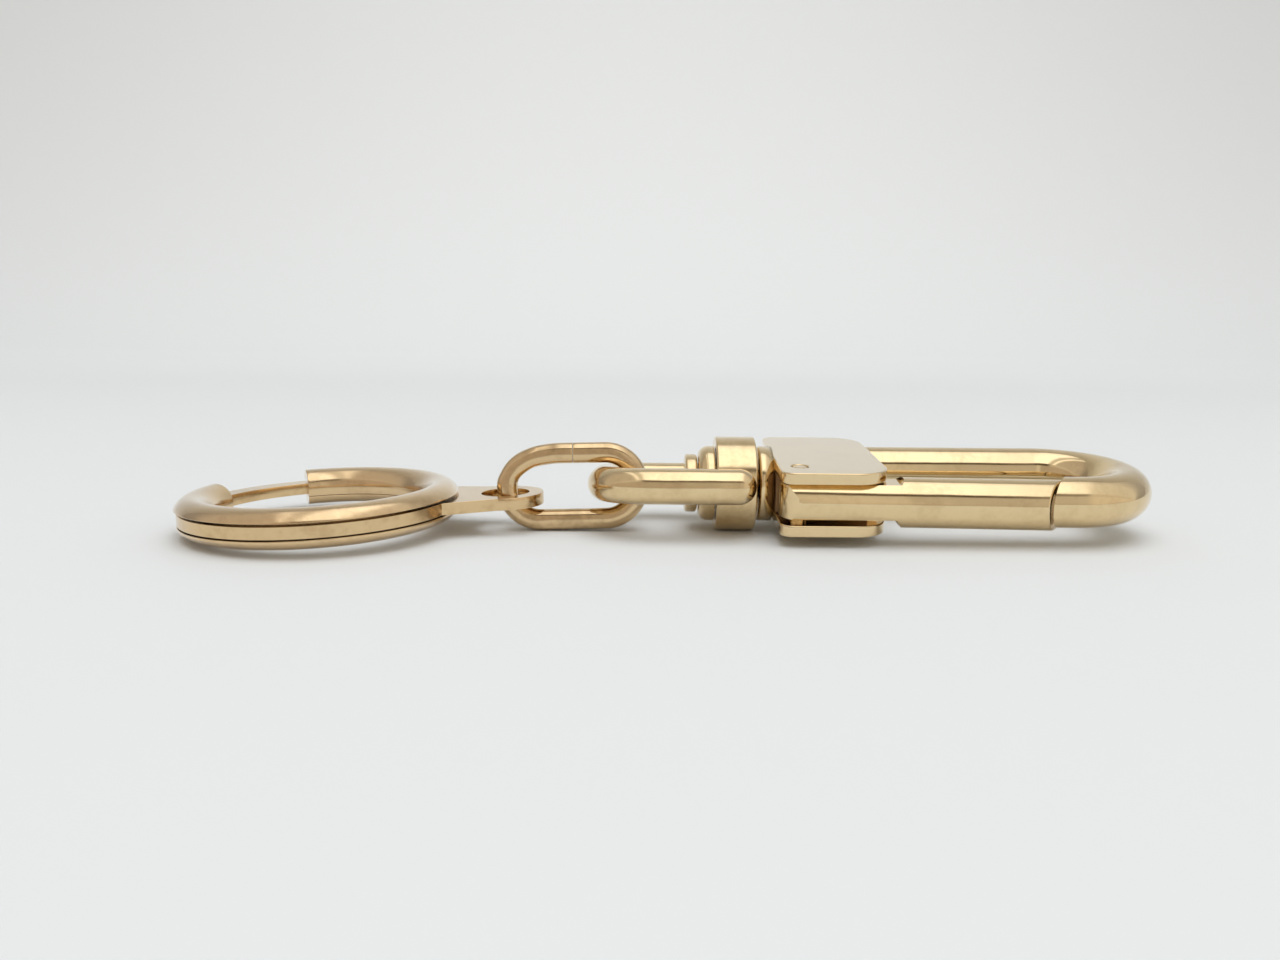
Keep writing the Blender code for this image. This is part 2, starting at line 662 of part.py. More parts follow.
def build():
    """Makes every piece in its place."""
    clear_scene()
    gold = {
        name: metal(name, GOLD, roughness)
        for name, roughness in (
            ("ring_sleeve_gold", 0.12),
            ("ring_plate_gold", 0.10),
            ("link_gold", 0.20),
            ("bail_gold", 0.10),
            ("swivel_gold", 0.10),
            ("cheek_gold", 0.07),
            ("bar_gold", 0.08),
        )
    }
    steel = metal("spring_steel", STEEL, 0.3)

    roll = Matrix.Rotation(BAIL_ROLL, 4, "X")
    lean = roll @ Matrix.Rotation(LINK_PITCH, 4, "Y")
    link_pivot = roll @ Vector((BAIL_BAR_X, LINK_SIDE_SHIFT, 0))
    wire_in_hole = Vector((LUG_PIVOT_X - BAIL_BAR_X, 0, -LINK_SAG - LUG_BELOW_MIDDLE))
    lug_pivot = link_pivot + lean.to_3x3() @ wire_in_hole
    hole_middle = lug_pivot + Vector((*LUG_HOLE_SHIFT, 0))
    turn = ring_turn()
    centre = hole_middle - turn.to_3x3() @ Vector((LUG_HOLE_REACH, 0, (PLATE_BASE + PLATE_TOP) / 2))
    left = centre.x - RING_MEAN_RADIUS - section_width(SLOT_ROOF)
    lie = Matrix.Rotation(CLASP_ROLL, 4, "X")
    middle = Vector(((left + CLASP_REACH) / 2, (lie @ centre).y, -COLLAR_RADIUS))

    frame = empty("clasp_frame", place=-middle, turn=lie)
    clasp_core(gold["bar_gold"], frame)
    cheek("upper_plate", CHEEK_INNER, gold["cheek_gold"], frame)
    cheek("lower_plate", -CHEEK_OUTER, gold["cheek_gold"], frame)
    hook(gold["bar_gold"], frame)
    swivel_post(gold["swivel_gold"], frame)
    swivel_washer(gold["swivel_gold"], frame)
    gate_pivot_pin(gold["bar_gold"], frame)
    gate_spring(steel, frame)

    pivot = Vector((PIVOT_X, PIVOT_Y, 0))
    gate_frame = empty("gate_pivot", frame, pivot)
    gate_at_pivot = gate(gold["bar_gold"], gate_frame)
    for held in [gate_at_pivot, *[m.object for m in gate_at_pivot.modifiers]]:
        held.matrix_local = Matrix.Translation(-pivot)

    swivel = empty("swivel_axis", frame, turn=roll)
    swivel_collar(gold["swivel_gold"], swivel)
    bail(gold["bail_gold"], swivel)

    link_frame = empty("link_pivot", frame, link_pivot, lean)
    oval_link(gold["link_gold"], link_frame)

    lug_frame = empty("lug_pivot", frame, lug_pivot)
    ring_frame = empty("ring_axis", lug_frame, centre - lug_pivot, turn)
    ring_plate(gold["ring_plate_gold"], ring_frame)
    ring_sleeve_upper(gold["ring_sleeve_gold"], ring_frame)
    ring_sleeve_lower(gold["ring_sleeve_gold"], ring_frame)


build()
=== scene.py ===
"""Key ring in polished gold: ring with turning sleeve, oval link, swivel bail and sprung clasp."""

import math

import bmesh
import bpy
from mathutils import Matrix, Vector


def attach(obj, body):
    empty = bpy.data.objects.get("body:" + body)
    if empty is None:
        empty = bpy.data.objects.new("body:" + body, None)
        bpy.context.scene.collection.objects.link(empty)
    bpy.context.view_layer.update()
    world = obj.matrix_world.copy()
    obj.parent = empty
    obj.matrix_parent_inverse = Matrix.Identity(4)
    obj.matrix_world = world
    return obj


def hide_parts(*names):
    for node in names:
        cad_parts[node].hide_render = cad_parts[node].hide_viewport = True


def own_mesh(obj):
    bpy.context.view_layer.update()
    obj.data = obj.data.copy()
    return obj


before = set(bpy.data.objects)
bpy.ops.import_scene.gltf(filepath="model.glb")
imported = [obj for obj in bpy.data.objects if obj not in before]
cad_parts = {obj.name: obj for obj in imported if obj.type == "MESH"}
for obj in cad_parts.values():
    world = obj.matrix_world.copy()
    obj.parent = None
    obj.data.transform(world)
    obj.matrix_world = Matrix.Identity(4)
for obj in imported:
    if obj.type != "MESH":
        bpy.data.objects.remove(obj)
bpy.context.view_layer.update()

MM = 0.001

# Ring
RING_MEAN_RADIUS = 12.6 * MM
SLEEVE_RADIUS = 2.0 * MM
SLEEVE_SEAM_DROP = 0.84 * MM
SLEEVE_WALL = 1.2 * MM
SLEEVE_GAP_START = math.radians(109)
SLEEVE_GAP_END = math.radians(160.8)
SLEEVE_LIP = 1.65 * MM
PLATE_THICKNESS = 1.25 * MM
PLATE_WIDTH = 2.3 * MM
PLATE_OPENING = 5.0 * MM
PLATE_OPENING_ANGLE = math.radians(58)
LUG_HOLE_REACH = 19.4 * MM
LUG_HOLE_RADIUS = 2.55 * MM
LUG_RIM = 1.5 * MM
LUG_ROOT_WIDTH = 10.6 * MM

# Oval link
LINK_LENGTH = 16.13 * MM
LINK_HEIGHT = 9.24 * MM
LINK_CORNER = 3.48 * MM
LINK_WIRE = 2.2 * MM
LINK_WIRE_CORNER = 0.9 * MM
LINK_SEAM_SHIFT = 0.1 * MM
SHOULDER_DROP = 0.43 * MM
SHOULDER_START = 1.4 * MM
SHOULDER_REACH = 4.2 * MM
SHOULDER_RISE = 2.0 * MM

# Bail and swivel
BAIL_RADIUS = 1.85 * MM
BAIL_SPREAD = 6.1 * MM
BAIL_LENGTH = 17.7 * MM
BAIL_CORNER = 4.6 * MM
COLLAR_RADIUS = 5.0 * MM
COLLAR_LENGTH = 4.2 * MM
WASHER_RADIUS = 4.0 * MM
WASHER_THICKNESS = 1.7 * MM
WASHER_RIM = 0.6 * MM
POST_RADIUS = 1.5 * MM
POST_HEAD_RADIUS = 3.1 * MM
POST_HEAD_LENGTH = 1.3 * MM
POST_SPIGOT = 2.6 * MM
NECK_RADIUS = 4.0 * MM
NECK_LENGTH = 1.51 * MM

# Clasp
CHEEK_LENGTH = 10.95 * MM
CHEEK_WIDTH = 19.4 * MM
CHEEK_THICKNESS = 1.2 * MM
CHEEK_SPACE = 4.16 * MM
CHEEK_NOSE_CORNER = 3.4 * MM
CHEEK_NECK_CORNER = 1.3 * MM
CORE_SETBACK = 0.6 * MM
BAR_RADIUS = 2.6 * MM
BAR_SPREAD = 7.4 * MM
CLASP_REACH = 42.0 * MM
GATE_SAG = 0.33 * MM
GATE_ROOT_RADIUS = 2.53 * MM
GATE_HEEL = 1.9 * MM
GATE_SHOULDER = 1.45 * MM
GATE_TOP_FLAT = 1.95 * MM
GATE_BASE_FLAT = 1.5 * MM
GATE_END = 30.3 * MM
GATE_END_SLANT = math.radians(34)
GATE_STOP_ANGLE = math.radians(20.5)
MILL_RADIUS = 3.2 * MM
MILL_HALF_WIDTH = 3.04 * MM
PIVOT_RADIUS = 0.85 * MM
PIVOT_INSET = 1.1 * MM
PIVOT_FROM_HEEL = 2.1 * MM

# Gate spring
SPRING_RADIUS = 0.85 * MM
SPRING_WIRE = 0.36 * MM
SPRING_TURNS = 6
SPRING_FROM_PIVOT = 4.0 * MM
SPRING_POCKET_DEPTH = 4.0 * MM
SPRING_SEAT_DEPTH = 0.5 * MM

# Clearances
SEAM_GAP = 0.04 * MM
RUNNING_GAP = 0.06 * MM
TURNING_GAP = 0.1 * MM
SLOT_HEADROOM = 0.3 * MM
NECK_GAP = 0.3 * MM
LINK_GAP = 0.55 * MM
TIP_GAP = 0.3 * MM

# Rest pose
CLASP_ROLL = math.radians(3.5)
RING_PITCH = math.radians(-2.1)
RING_ROLL = -CLASP_ROLL
RING_YAW = math.radians(4.0)
BAIL_ROLL = math.radians(-9.3)
LINK_PITCH = math.radians(-1.5)
LINK_SAG = 0.27 * MM
LINK_SIDE_SHIFT = -0.9 * MM
LUG_BELOW_MIDDLE = 1.22 * MM
LUG_HOLE_SHIFT = (-0.44 * MM, 0.2 * MM)

# How finely the pieces are made
BAR_SIDES = 96
BEND_STEPS = 40
RING_STEPS = 180
TURNED_STEPS = 120
SECTION_STEPS = 48
CORNER_STEPS = 8
CUTTER_STEPS = 48
DOME_STEPS = 12
DOME_ANGLE = math.radians(86)
LINK_BAR_STEPS = 16
LINK_SIDE_STEPS = 6
SPRING_SIDES = 12
SPRING_TURN_STEPS = 32
SHARP = math.radians(28)
WELD = 0.0005 * MM
SHADING_WEIGHT = 80

# How far polishing has eased the edges
RING_EDGE = 0.05 * MM
LINK_EDGE = 0.05 * MM
COLLAR_EDGE = 0.2 * MM
WASHER_EDGE = 0.08 * MM
POST_EDGE = 0.3 * MM
CHEEK_EDGE = 0.2 * MM
CORE_EDGE = 0.06 * MM
HOOK_EDGE = 0.12 * MM
GATE_EDGE = 0.1 * MM
SEAM_RIM = 0.32 * MM
PIN_RIM = 0.32 * MM

# Polish
WAVE_DEPTH = 0.06 * MM

# Tabletop
SHEET_NEAR = 0.60
SHEET_DEPTH = 0.35
SHEET_WIDTH = 2.4
SHEET_BEND = 0.30
SHEET_TURN = math.radians(88)
SHEET_BACK = (0, 0.05, 1.2)
SHEET_STEPS = 40
PAPER = (0.735, 0.765, 0.78)

# Camera
CAMERA_PLACE = (-0.003747, -0.114296, 0.024573)
CAMERA_YAW = math.radians(0.356)
CAMERA_PITCH = math.radians(9.41)
CAMERA_ROLL = math.radians(0.518)
SENSOR_WIDTH = 36.0
LENS = 30.93

# Derived sizes of the ring
SLOT_FLOOR = -SLEEVE_SEAM_DROP
PLATE_BASE = SLOT_FLOOR + TURNING_GAP
PLATE_TOP = PLATE_BASE + PLATE_THICKNESS
SLOT_ROOF = PLATE_TOP + SLOT_HEADROOM
SLOT_WALL = RING_MEAN_RADIUS - SLEEVE_RADIUS + SLEEVE_WALL
PLATE_INNER = SLOT_WALL + TURNING_GAP
PLATE_OUTER = PLATE_INNER + PLATE_WIDTH
LUG_END_RADIUS = LUG_HOLE_RADIUS + LUG_RIM

# Derived sizes of the clasp
NECK_START = NECK_GAP
NECK_END = NECK_START + NECK_LENGTH
CHEEK_START = NECK_END + SEAM_GAP
CHEEK_END = CHEEK_START + CHEEK_LENGTH
CHEEK_INNER = CHEEK_SPACE / 2
CHEEK_OUTER = CHEEK_INNER + CHEEK_THICKNESS
BEND_CENTRE_X = CLASP_REACH - BAR_RADIUS - BAR_SPREAD
PIVOT_X = GATE_HEEL + PIVOT_FROM_HEEL
PIVOT_Y = -BAR_SPREAD + PIVOT_INSET
SHOULDER_X = CHEEK_END + GATE_SHOULDER
SPRING_X = PIVOT_X + SPRING_FROM_PIVOT
GATE_FACE = -BAR_SPREAD + GATE_ROOT_RADIUS
CORE_FRONT = GATE_FACE + TURNING_GAP * 2
SPRING_FLOOR = CORE_FRONT + SPRING_FROM_PIVOT * math.tan(GATE_STOP_ANGLE) + SPRING_POCKET_DEPTH

# Derived places of the link, the bail and the lug
BAIL_BAR_X = -BAIL_LENGTH + BAIL_RADIUS
BAIL_BEND_X = BAIL_BAR_X + BAIL_CORNER
LINK_HALF_RISE = (LINK_HEIGHT - LINK_WIRE) / 2
LINK_END = BAIL_BAR_X + BAIL_RADIUS + LINK_GAP + LINK_WIRE
LINK_RIGHT_X = LINK_END - LINK_WIRE / 2 - LINK_CORNER
LINK_LEFT_X = LINK_END - LINK_LENGTH + LINK_WIRE / 2 + LINK_CORNER
LUG_LEVEL = LUG_BELOW_MIDDLE - (LINK_HALF_RISE - LINK_CORNER)
LUG_PIVOT_X = LINK_LEFT_X - math.sqrt(LINK_CORNER**2 - LUG_LEVEL**2)

AXIS_X, AXIS_Y, AXIS_Z = Vector((1, 0, 0)), Vector((0, 1, 0)), Vector((0, 0, 1))


def places():
    """Where the clasp, the swivel, the link and the ring are drawn."""
    roll = Matrix.Rotation(BAIL_ROLL, 4, "X")
    lean = roll @ Matrix.Rotation(LINK_PITCH, 4, "Y")
    link_pivot = roll @ Vector((BAIL_BAR_X, LINK_SIDE_SHIFT, 0))
    wire_in_hole = Vector((LUG_PIVOT_X - BAIL_BAR_X, 0, -LINK_SAG - LUG_BELOW_MIDDLE))
    hole_middle = link_pivot + lean.to_3x3() @ wire_in_hole + Vector((*LUG_HOLE_SHIFT, 0))
    turn = Matrix.Rotation(RING_ROLL, 4, "X") @ Matrix.Rotation(RING_PITCH, 4, "Y")
    turn = turn @ Matrix.Rotation(RING_YAW, 4, "Z")
    centre = hole_middle - turn.to_3x3() @ Vector((LUG_HOLE_REACH, 0, (PLATE_BASE + PLATE_TOP) / 2))
    left = centre.x - RING_MEAN_RADIUS - section_width(SLOT_ROOF)
    lie = Matrix.Rotation(CLASP_ROLL, 4, "X")
    clasp = Matrix.Translation((-(left + CLASP_REACH) / 2, -(lie @ centre).y, COLLAR_RADIUS)) @ lie
    return {
        "clasp": clasp,
        "swivel": clasp @ roll,
        "link": clasp @ Matrix.Translation(link_pivot) @ lean,
        "ring": clasp @ Matrix.Translation(centre) @ turn,
    }


def section_width(height):
    """Half the width of the sleeve's round section at a height."""
    return math.sqrt(SLEEVE_RADIUS**2 - height**2)


def line_to(bm, vert, point):
    """Draws a straight edge of a profile."""
    end = bm.verts.new(point)
    bm.edges.new((vert, end))
    return end


def arc_to(bm, vert, centre, axis, angle, steps):
    """Draws an arc of a profile."""
    made = bmesh.ops.spin(bm, geom=[vert], cent=centre, axis=axis, angle=angle, steps=steps)
    return next(item for item in made["geom_last"] if isinstance(item, bmesh.types.BMVert))


def fill(bm):
    """Closes the drawn profile into a face."""
    made = bmesh.ops.contextual_create(bm, geom=bm.edges[:])
    return made["faces"][0]


def disc(bm, radius, place, normal, sides=BAR_SIDES):
    """A round face that starts a bar."""
    turn = AXIS_Z.rotation_difference(Vector(normal)).to_matrix().to_4x4()
    made = bmesh.ops.create_circle(
        bm, cap_ends=True, radius=radius, segments=sides, matrix=Matrix.Translation(place) @ turn
    )
    return made["verts"][0].link_faces[0]


def run(bm, face, step, scale=1.0):
    """Extrudes a face by a straight step, and may draw it in."""
    made = bmesh.ops.extrude_face_region(bm, geom=[face, *face.edges, *face.verts])
    end = next(item for item in made["geom"] if isinstance(item, bmesh.types.BMFace))
    middle = end.calc_center_median()
    for vert in end.verts:
        vert.co = middle + (vert.co - middle) * scale + Vector(step)
    return end


def bend(bm, face, centre, axis, angle, steps):
    """Sweeps a face round an axis."""
    made = bmesh.ops.spin(
        bm, geom=[face, *face.edges, *face.verts], cent=centre, axis=axis, angle=angle, steps=steps
    )
    return next(item for item in made["geom_last"] if isinstance(item, bmesh.types.BMFace))


def turn_round(bm, axis, steps=TURNED_STEPS):
    """A full turn of the drawn profile."""
    geom = bm.verts[:] + bm.edges[:]
    bmesh.ops.spin(bm, geom=geom, cent=(0, 0, 0), axis=axis, angle=math.tau, steps=steps, use_merge=True)


def rod(radius, start, end, sides=CUTTER_STEPS):
    """A straight round rod."""
    bm = bmesh.new()
    along = Vector(end) - Vector(start)
    run(bm, disc(bm, radius, start, along, sides), along)
    return bm


def block(low, high):
    """A plain block between two corners."""
    bm = bmesh.new()
    low, high = Vector(low), Vector(high)
    size = Matrix.Diagonal((*(high - low), 1.0))
    bmesh.ops.create_cube(bm, size=1.0, matrix=Matrix.Translation((low + high) / 2) @ size)
    return bm


def tidy(bm):
    """Merges doubled points and turns every face outwards."""
    bmesh.ops.remove_doubles(bm, verts=bm.verts, dist=WELD)
    bmesh.ops.dissolve_degenerate(bm, dist=WELD, edges=bm.edges)
    bmesh.ops.recalc_face_normals(bm, faces=bm.faces)


def cut(bm, *cutters, operation="DIFFERENCE"):
    """Cuts a shape by others, or keeps what it shares with them."""
    tidy(bm)
    mesh = bpy.data.meshes.new("blank")
    bm.to_mesh(mesh)
    bm.free()
    target = bpy.data.objects.new("blank", mesh)
    bpy.context.scene.collection.objects.link(target)
    helpers = []
    for cutter in cutters:
        tidy(cutter)
        shape = bpy.data.meshes.new("cutter")
        cutter.to_mesh(shape)
        cutter.free()
        helper = bpy.data.objects.new("cutter", shape)
        bpy.context.scene.collection.objects.link(helper)
        modifier = target.modifiers.new("cut", "BOOLEAN")
        modifier.operation = operation
        modifier.solver = "EXACT"
        modifier.object = helper
        helpers.append(helper)
    bpy.context.view_layer.update()
    made = bpy.data.meshes.new_from_object(target.evaluated_get(bpy.context.evaluated_depsgraph_get()))
    result = bmesh.new()
    result.from_mesh(made)
    bpy.data.meshes.remove(made)
    for used in (target, *helpers):
        shape = used.data
        bpy.data.objects.remove(used, do_unlink=True)
        bpy.data.meshes.remove(shape)
    return result


def ease(bm, width, segments=3, keep=None):
    """Rounds the sharp edges, as polishing does, apart from those to keep."""
    tidy(bm)
    sharp = [e for e in bm.edges if len(e.link_faces) == 2 and e.calc_face_angle(0) > SHARP]
    if keep:
        sharp = [e for e in sharp if not keep(e)]
    bmesh.ops.bevel(
        bm,
        geom=sharp,
        offset=width,
        offset_type="OFFSET",
        segments=segments,
        profile=0.5,
        affect="EDGES",
        clamp_overlap=True,
        material=-1,
    )


def finish_piece(name, bm, place, material, body, node):
    """Places a shape in its mesh and hands it to the frame in the node's stead."""
    tidy(bm)
    bmesh.ops.transform(bm, matrix=place, verts=bm.verts)
    mesh = bpy.data.meshes.new(name)
    bm.to_mesh(mesh)
    bm.free()
    mesh.shade_smooth()
    mesh.materials.append(material)
    made = bpy.data.objects.new(name, mesh)
    bpy.context.scene.collection.objects.link(made)
    weighted = made.modifiers.new("even_shading", "WEIGHTED_NORMAL")
    weighted.mode = "FACE_AREA"
    weighted.weight = SHADING_WEIGHT
    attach(made, body)
    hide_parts(node)
    return made


def sleeve_upper_shape():
    """The larger part of the sleeve, rebated from below for the flat ring."""
    bm = bmesh.new()
    roof = math.atan2(SLOT_ROOF, section_width(SLOT_ROOF))
    foot = math.pi + math.asin(SLEEVE_SEAM_DROP / SLEEVE_RADIUS)
    centre = (RING_MEAN_RADIUS, 0, 0)
    first = bm.verts.new((RING_MEAN_RADIUS + section_width(SLOT_ROOF), 0, SLOT_ROOF))
    last = arc_to(bm, first, centre, -AXIS_Y, foot - roof, SECTION_STEPS)
    last = line_to(bm, last, (SLOT_WALL, 0, SLOT_FLOOR))
    last = line_to(bm, last, (SLOT_WALL, 0, SLOT_ROOF))
    bm.edges.new((last, first))
    return sweep_sleeve(bm)


def sleeve_lower_shape():
    """The closing strip under the flat ring, with its outer lip cut back."""
    bm = bmesh.new()
    top = SLOT_FLOOR - SEAM_GAP
    start = math.pi + math.asin(-top / SLEEVE_RADIUS)
    end = math.tau - math.acos(SLEEVE_LIP / SLEEVE_RADIUS)
    first = bm.verts.new((RING_MEAN_RADIUS - section_width(top), 0, top))
    last = arc_to(bm, first, (RING_MEAN_RADIUS, 0, 0), -AXIS_Y, end - start, SECTION_STEPS // 2)
    last = line_to(bm, last, (RING_MEAN_RADIUS + SLEEVE_LIP, 0, top))
    bm.edges.new((last, first))
    return sweep_sleeve(bm)


def sweep_sleeve(bm):
    """Sweeps a section from one end of the sleeve's gap round to the other."""
    face = fill(bm)
    bmesh.ops.rotate(bm, verts=bm.verts, cent=(0, 0, 0), matrix=Matrix.Rotation(SLEEVE_GAP_END, 3, "Z"))
    bend(bm, face, (0, 0, 0), AXIS_Z, math.tau - (SLEEVE_GAP_END - SLEEVE_GAP_START), RING_STEPS)
    ease(bm, RING_EDGE)
    return bm


def ring_plate_shape():
    """The flat ring with its flared lug, and its hidden opening for keys."""
    bm = bmesh.new()
    half_gap = math.asin(PLATE_OPENING / 2 / PLATE_INNER)
    half = LUG_ROOT_WIDTH / 2
    root = math.asin(half / PLATE_OUTER)
    flare = math.atan2(half - LUG_END_RADIUS, LUG_HOLE_REACH - PLATE_OUTER + PLATE_WIDTH / 2)
    side = math.pi / 2 + flare
    open_start = PLATE_OPENING_ANGLE - half_gap
    open_end = PLATE_OPENING_ANGLE + half_gap
    share = RING_STEPS // 2
    first = bm.verts.new(Matrix.Rotation(open_end, 3, "Z") @ Vector((PLATE_OUTER, 0, PLATE_BASE)))
    last = arc_to(bm, first, (0, 0, 0), AXIS_Z, math.tau - root - open_end, share)
    lug = Vector((LUG_HOLE_REACH, 0, PLATE_BASE))
    last = line_to(bm, last, lug + Matrix.Rotation(-side, 3, "Z") @ Vector((LUG_END_RADIUS, 0, 0)))
    last = arc_to(bm, last, lug, AXIS_Z, 2 * side, CUTTER_STEPS)
    last = line_to(bm, last, Matrix.Rotation(root, 3, "Z") @ Vector((PLATE_OUTER, 0, PLATE_BASE)))
    last = arc_to(bm, last, (0, 0, 0), AXIS_Z, open_start - root, share // 4)
    last = line_to(bm, last, Matrix.Rotation(open_start, 3, "Z") @ Vector((PLATE_INNER, 0, PLATE_BASE)))
    last = arc_to(bm, last, (0, 0, 0), -AXIS_Z, math.tau - 2 * half_gap, RING_STEPS)
    bm.edges.new((last, first))
    run(bm, fill(bm), (0, 0, PLATE_THICKNESS))
    low = (LUG_HOLE_REACH, 0, PLATE_BASE - PLATE_THICKNESS)
    high = (LUG_HOLE_REACH, 0, PLATE_TOP + PLATE_THICKNESS)
    bm = cut(bm, rod(LUG_HOLE_RADIUS, low, high, 2 * CUTTER_STEPS))
    ease(bm, RING_EDGE)
    return bm


def oval_link_shape():
    """The chain link: a bent wire of rounded square section, whose ends butt on its top side.

    Its left shoulder droops a little.
    """
    bm = bmesh.new()
    top = LINK_HALF_RISE
    side = LINK_HALF_RISE - LINK_CORNER
    seam = (LINK_LEFT_X + LINK_RIGHT_X) / 2 + LINK_SEAM_SHIFT - BAIL_BAR_X
    left = LINK_LEFT_X - BAIL_BAR_X
    right = LINK_RIGHT_X - BAIL_BAR_X
    start = Vector((seam + SEAM_GAP / 2, 0, top - LINK_SAG))
    turn = Matrix.Translation(start) @ Matrix.Rotation(math.pi / 2, 4, "Y")
    bmesh.ops.create_grid(bm, x_segments=1, y_segments=1, size=LINK_WIRE / 2, matrix=turn)
    bmesh.ops.bevel(
        bm,
        geom=bm.verts[:],
        offset=LINK_WIRE_CORNER,
        offset_type="OFFSET",
        segments=CORNER_STEPS,
        profile=0.5,
        affect="VERTICES",
        material=-1,
    )
    face = max(bm.faces, key=lambda f: len(f.verts))
    face = run_even(bm, face, (right - seam - SEAM_GAP / 2, 0, 0), LINK_BAR_STEPS)
    for x, towards in ((right, -1), (left, 1)):
        first = (x, 0, -side * towards - LINK_SAG)
        second = (x, 0, side * towards - LINK_SAG)
        face = bend(bm, face, first, AXIS_Y, math.pi / 2, BEND_STEPS)
        face = run_even(bm, face, (0, 0, 2 * side * towards), LINK_SIDE_STEPS)
        face = bend(bm, face, second, AXIS_Y, math.pi / 2, BEND_STEPS)
        if towards < 0:
            face = run_even(bm, face, (left - right, 0, 0), 2 * LINK_BAR_STEPS)
    run_even(bm, face, (seam - left - SEAM_GAP / 2, 0, 0), LINK_BAR_STEPS)
    ease(bm, LINK_EDGE, 2)
    for vert in bm.verts:
        along = smooth((seam - vert.co.x - SHOULDER_START) / SHOULDER_REACH)
        vert.co.z -= SHOULDER_DROP * along * smooth(vert.co.z / SHOULDER_RISE)
    return bm


def smooth(share):
    """Eases a share in from 0 and out to 1."""
    share = min(max(share, 0.0), 1.0)
    return share * share * (3.0 - 2.0 * share)


def run_even(bm, face, step, count):
    """A straight stretch in even short steps, so that it can droop smoothly."""
    for _ in range(count):
        face = run(bm, face, Vector(step) / count)
    return face


def round_end(bm, face, direction, radius):
    """Closes a bar with a domed end."""
    size, height = 1.0, 0.0
    for step in range(1, DOME_STEPS + 1):
        angle = step / DOME_STEPS * DOME_ANGLE
        new_size, new_height = math.cos(angle), math.sin(angle)
        face = run(bm, face, Vector(direction) * radius * (new_height - height), new_size / size)
        size, height = new_size, new_height


def bail_shape():
    """The U-shaped bail with domed leg ends, seated on the collar."""
    bm = bmesh.new()
    leg_end = -COLLAR_LENGTH / 2
    start = disc(bm, BAIL_RADIUS, (leg_end, -BAIL_SPREAD, 0), AXIS_X)
    face = run(bm, start, (BAIL_BEND_X - leg_end, 0, 0))
    straight = BAIL_SPREAD - BAIL_CORNER
    face = bend(bm, face, (BAIL_BEND_X, -straight, 0), AXIS_Z, -math.pi / 2, BEND_STEPS)
    face = run(bm, face, (0, 2 * straight, 0))
    face = bend(bm, face, (BAIL_BEND_X, straight, 0), AXIS_Z, -math.pi / 2, BEND_STEPS)
    face = run(bm, face, (leg_end - BAIL_BEND_X, 0, 0))
    round_end(bm, face, AXIS_X, BAIL_RADIUS)
    first = [f for f in bm.faces if len(f.verts) == BAR_SIDES and f.calc_center_median().y < 0]
    round_end(bm, first[0], AXIS_X, BAIL_RADIUS)
    beyond = COLLAR_LENGTH + BAIL_RADIUS
    return cut(bm, rod(COLLAR_RADIUS - SEAM_GAP, (-beyond, 0, 0), (beyond, 0, 0), TURNED_STEPS))


def swivel_collar_shape():
    """The drum that turns on the post."""
    bm = bmesh.new()
    bore = POST_RADIUS + RUNNING_GAP
    first = bm.verts.new((-COLLAR_LENGTH, 0, bore))
    last = line_to(bm, first, (-COLLAR_LENGTH, 0, COLLAR_RADIUS))
    last = line_to(bm, last, (0, 0, COLLAR_RADIUS))
    last = line_to(bm, last, (0, 0, bore))
    bm.edges.new((last, first))
    turn_round(bm, AXIS_X)
    ease(bm, COLLAR_EDGE, 4)
    return bm


def swivel_washer_shape():
    """The domed washer between the collar and the post's head."""
    bm = bmesh.new()
    flat = -COLLAR_LENGTH - TURNING_GAP
    bore = POST_RADIUS + RUNNING_GAP
    rise = WASHER_THICKNESS - WASHER_RIM
    first = bm.verts.new((flat, 0, bore))
    last = line_to(bm, first, (flat, 0, WASHER_RADIUS))
    last = line_to(bm, last, (flat - WASHER_RIM, 0, WASHER_RADIUS))
    centre = (flat - WASHER_RIM, 0, WASHER_RADIUS - rise)
    last = arc_to(bm, last, centre, -AXIS_Y, math.pi / 2, CORNER_STEPS * 2)
    last = line_to(bm, last, (flat - WASHER_THICKNESS, 0, bore))
    bm.edges.new((last, first))
    turn_round(bm, AXIS_X)
    ease(bm, WASHER_EDGE)
    return bm


def at_spigot(edge):
    """Whether an edge lies on the neck's right rim or on the spigot."""
    return min(vert.co.x for vert in edge.verts) > NECK_END - SEAM_GAP


def swivel_post_shape():
    """The riveted post: head, shaft, neck and the spigot in the core."""
    bm = bmesh.new()
    head_end = -COLLAR_LENGTH - 2 * TURNING_GAP - WASHER_THICKNESS
    head_start = head_end - POST_HEAD_LENGTH
    last = bm.verts.new((head_start, 0, 0))
    for x, radius in (
        (head_start, POST_HEAD_RADIUS),
        (head_end, POST_HEAD_RADIUS),
        (head_end, POST_RADIUS),
        (NECK_START, POST_RADIUS),
        (NECK_START, NECK_RADIUS),
        (NECK_END, NECK_RADIUS),
        (NECK_END, POST_RADIUS),
        (NECK_END + POST_SPIGOT, POST_RADIUS),
        (NECK_END + POST_SPIGOT, 0),
    ):
        last = line_to(bm, last, (x, 0, radius))
    turn_round(bm, AXIS_X)
    ease(bm, POST_EDGE, 5, at_spigot)
    return bm


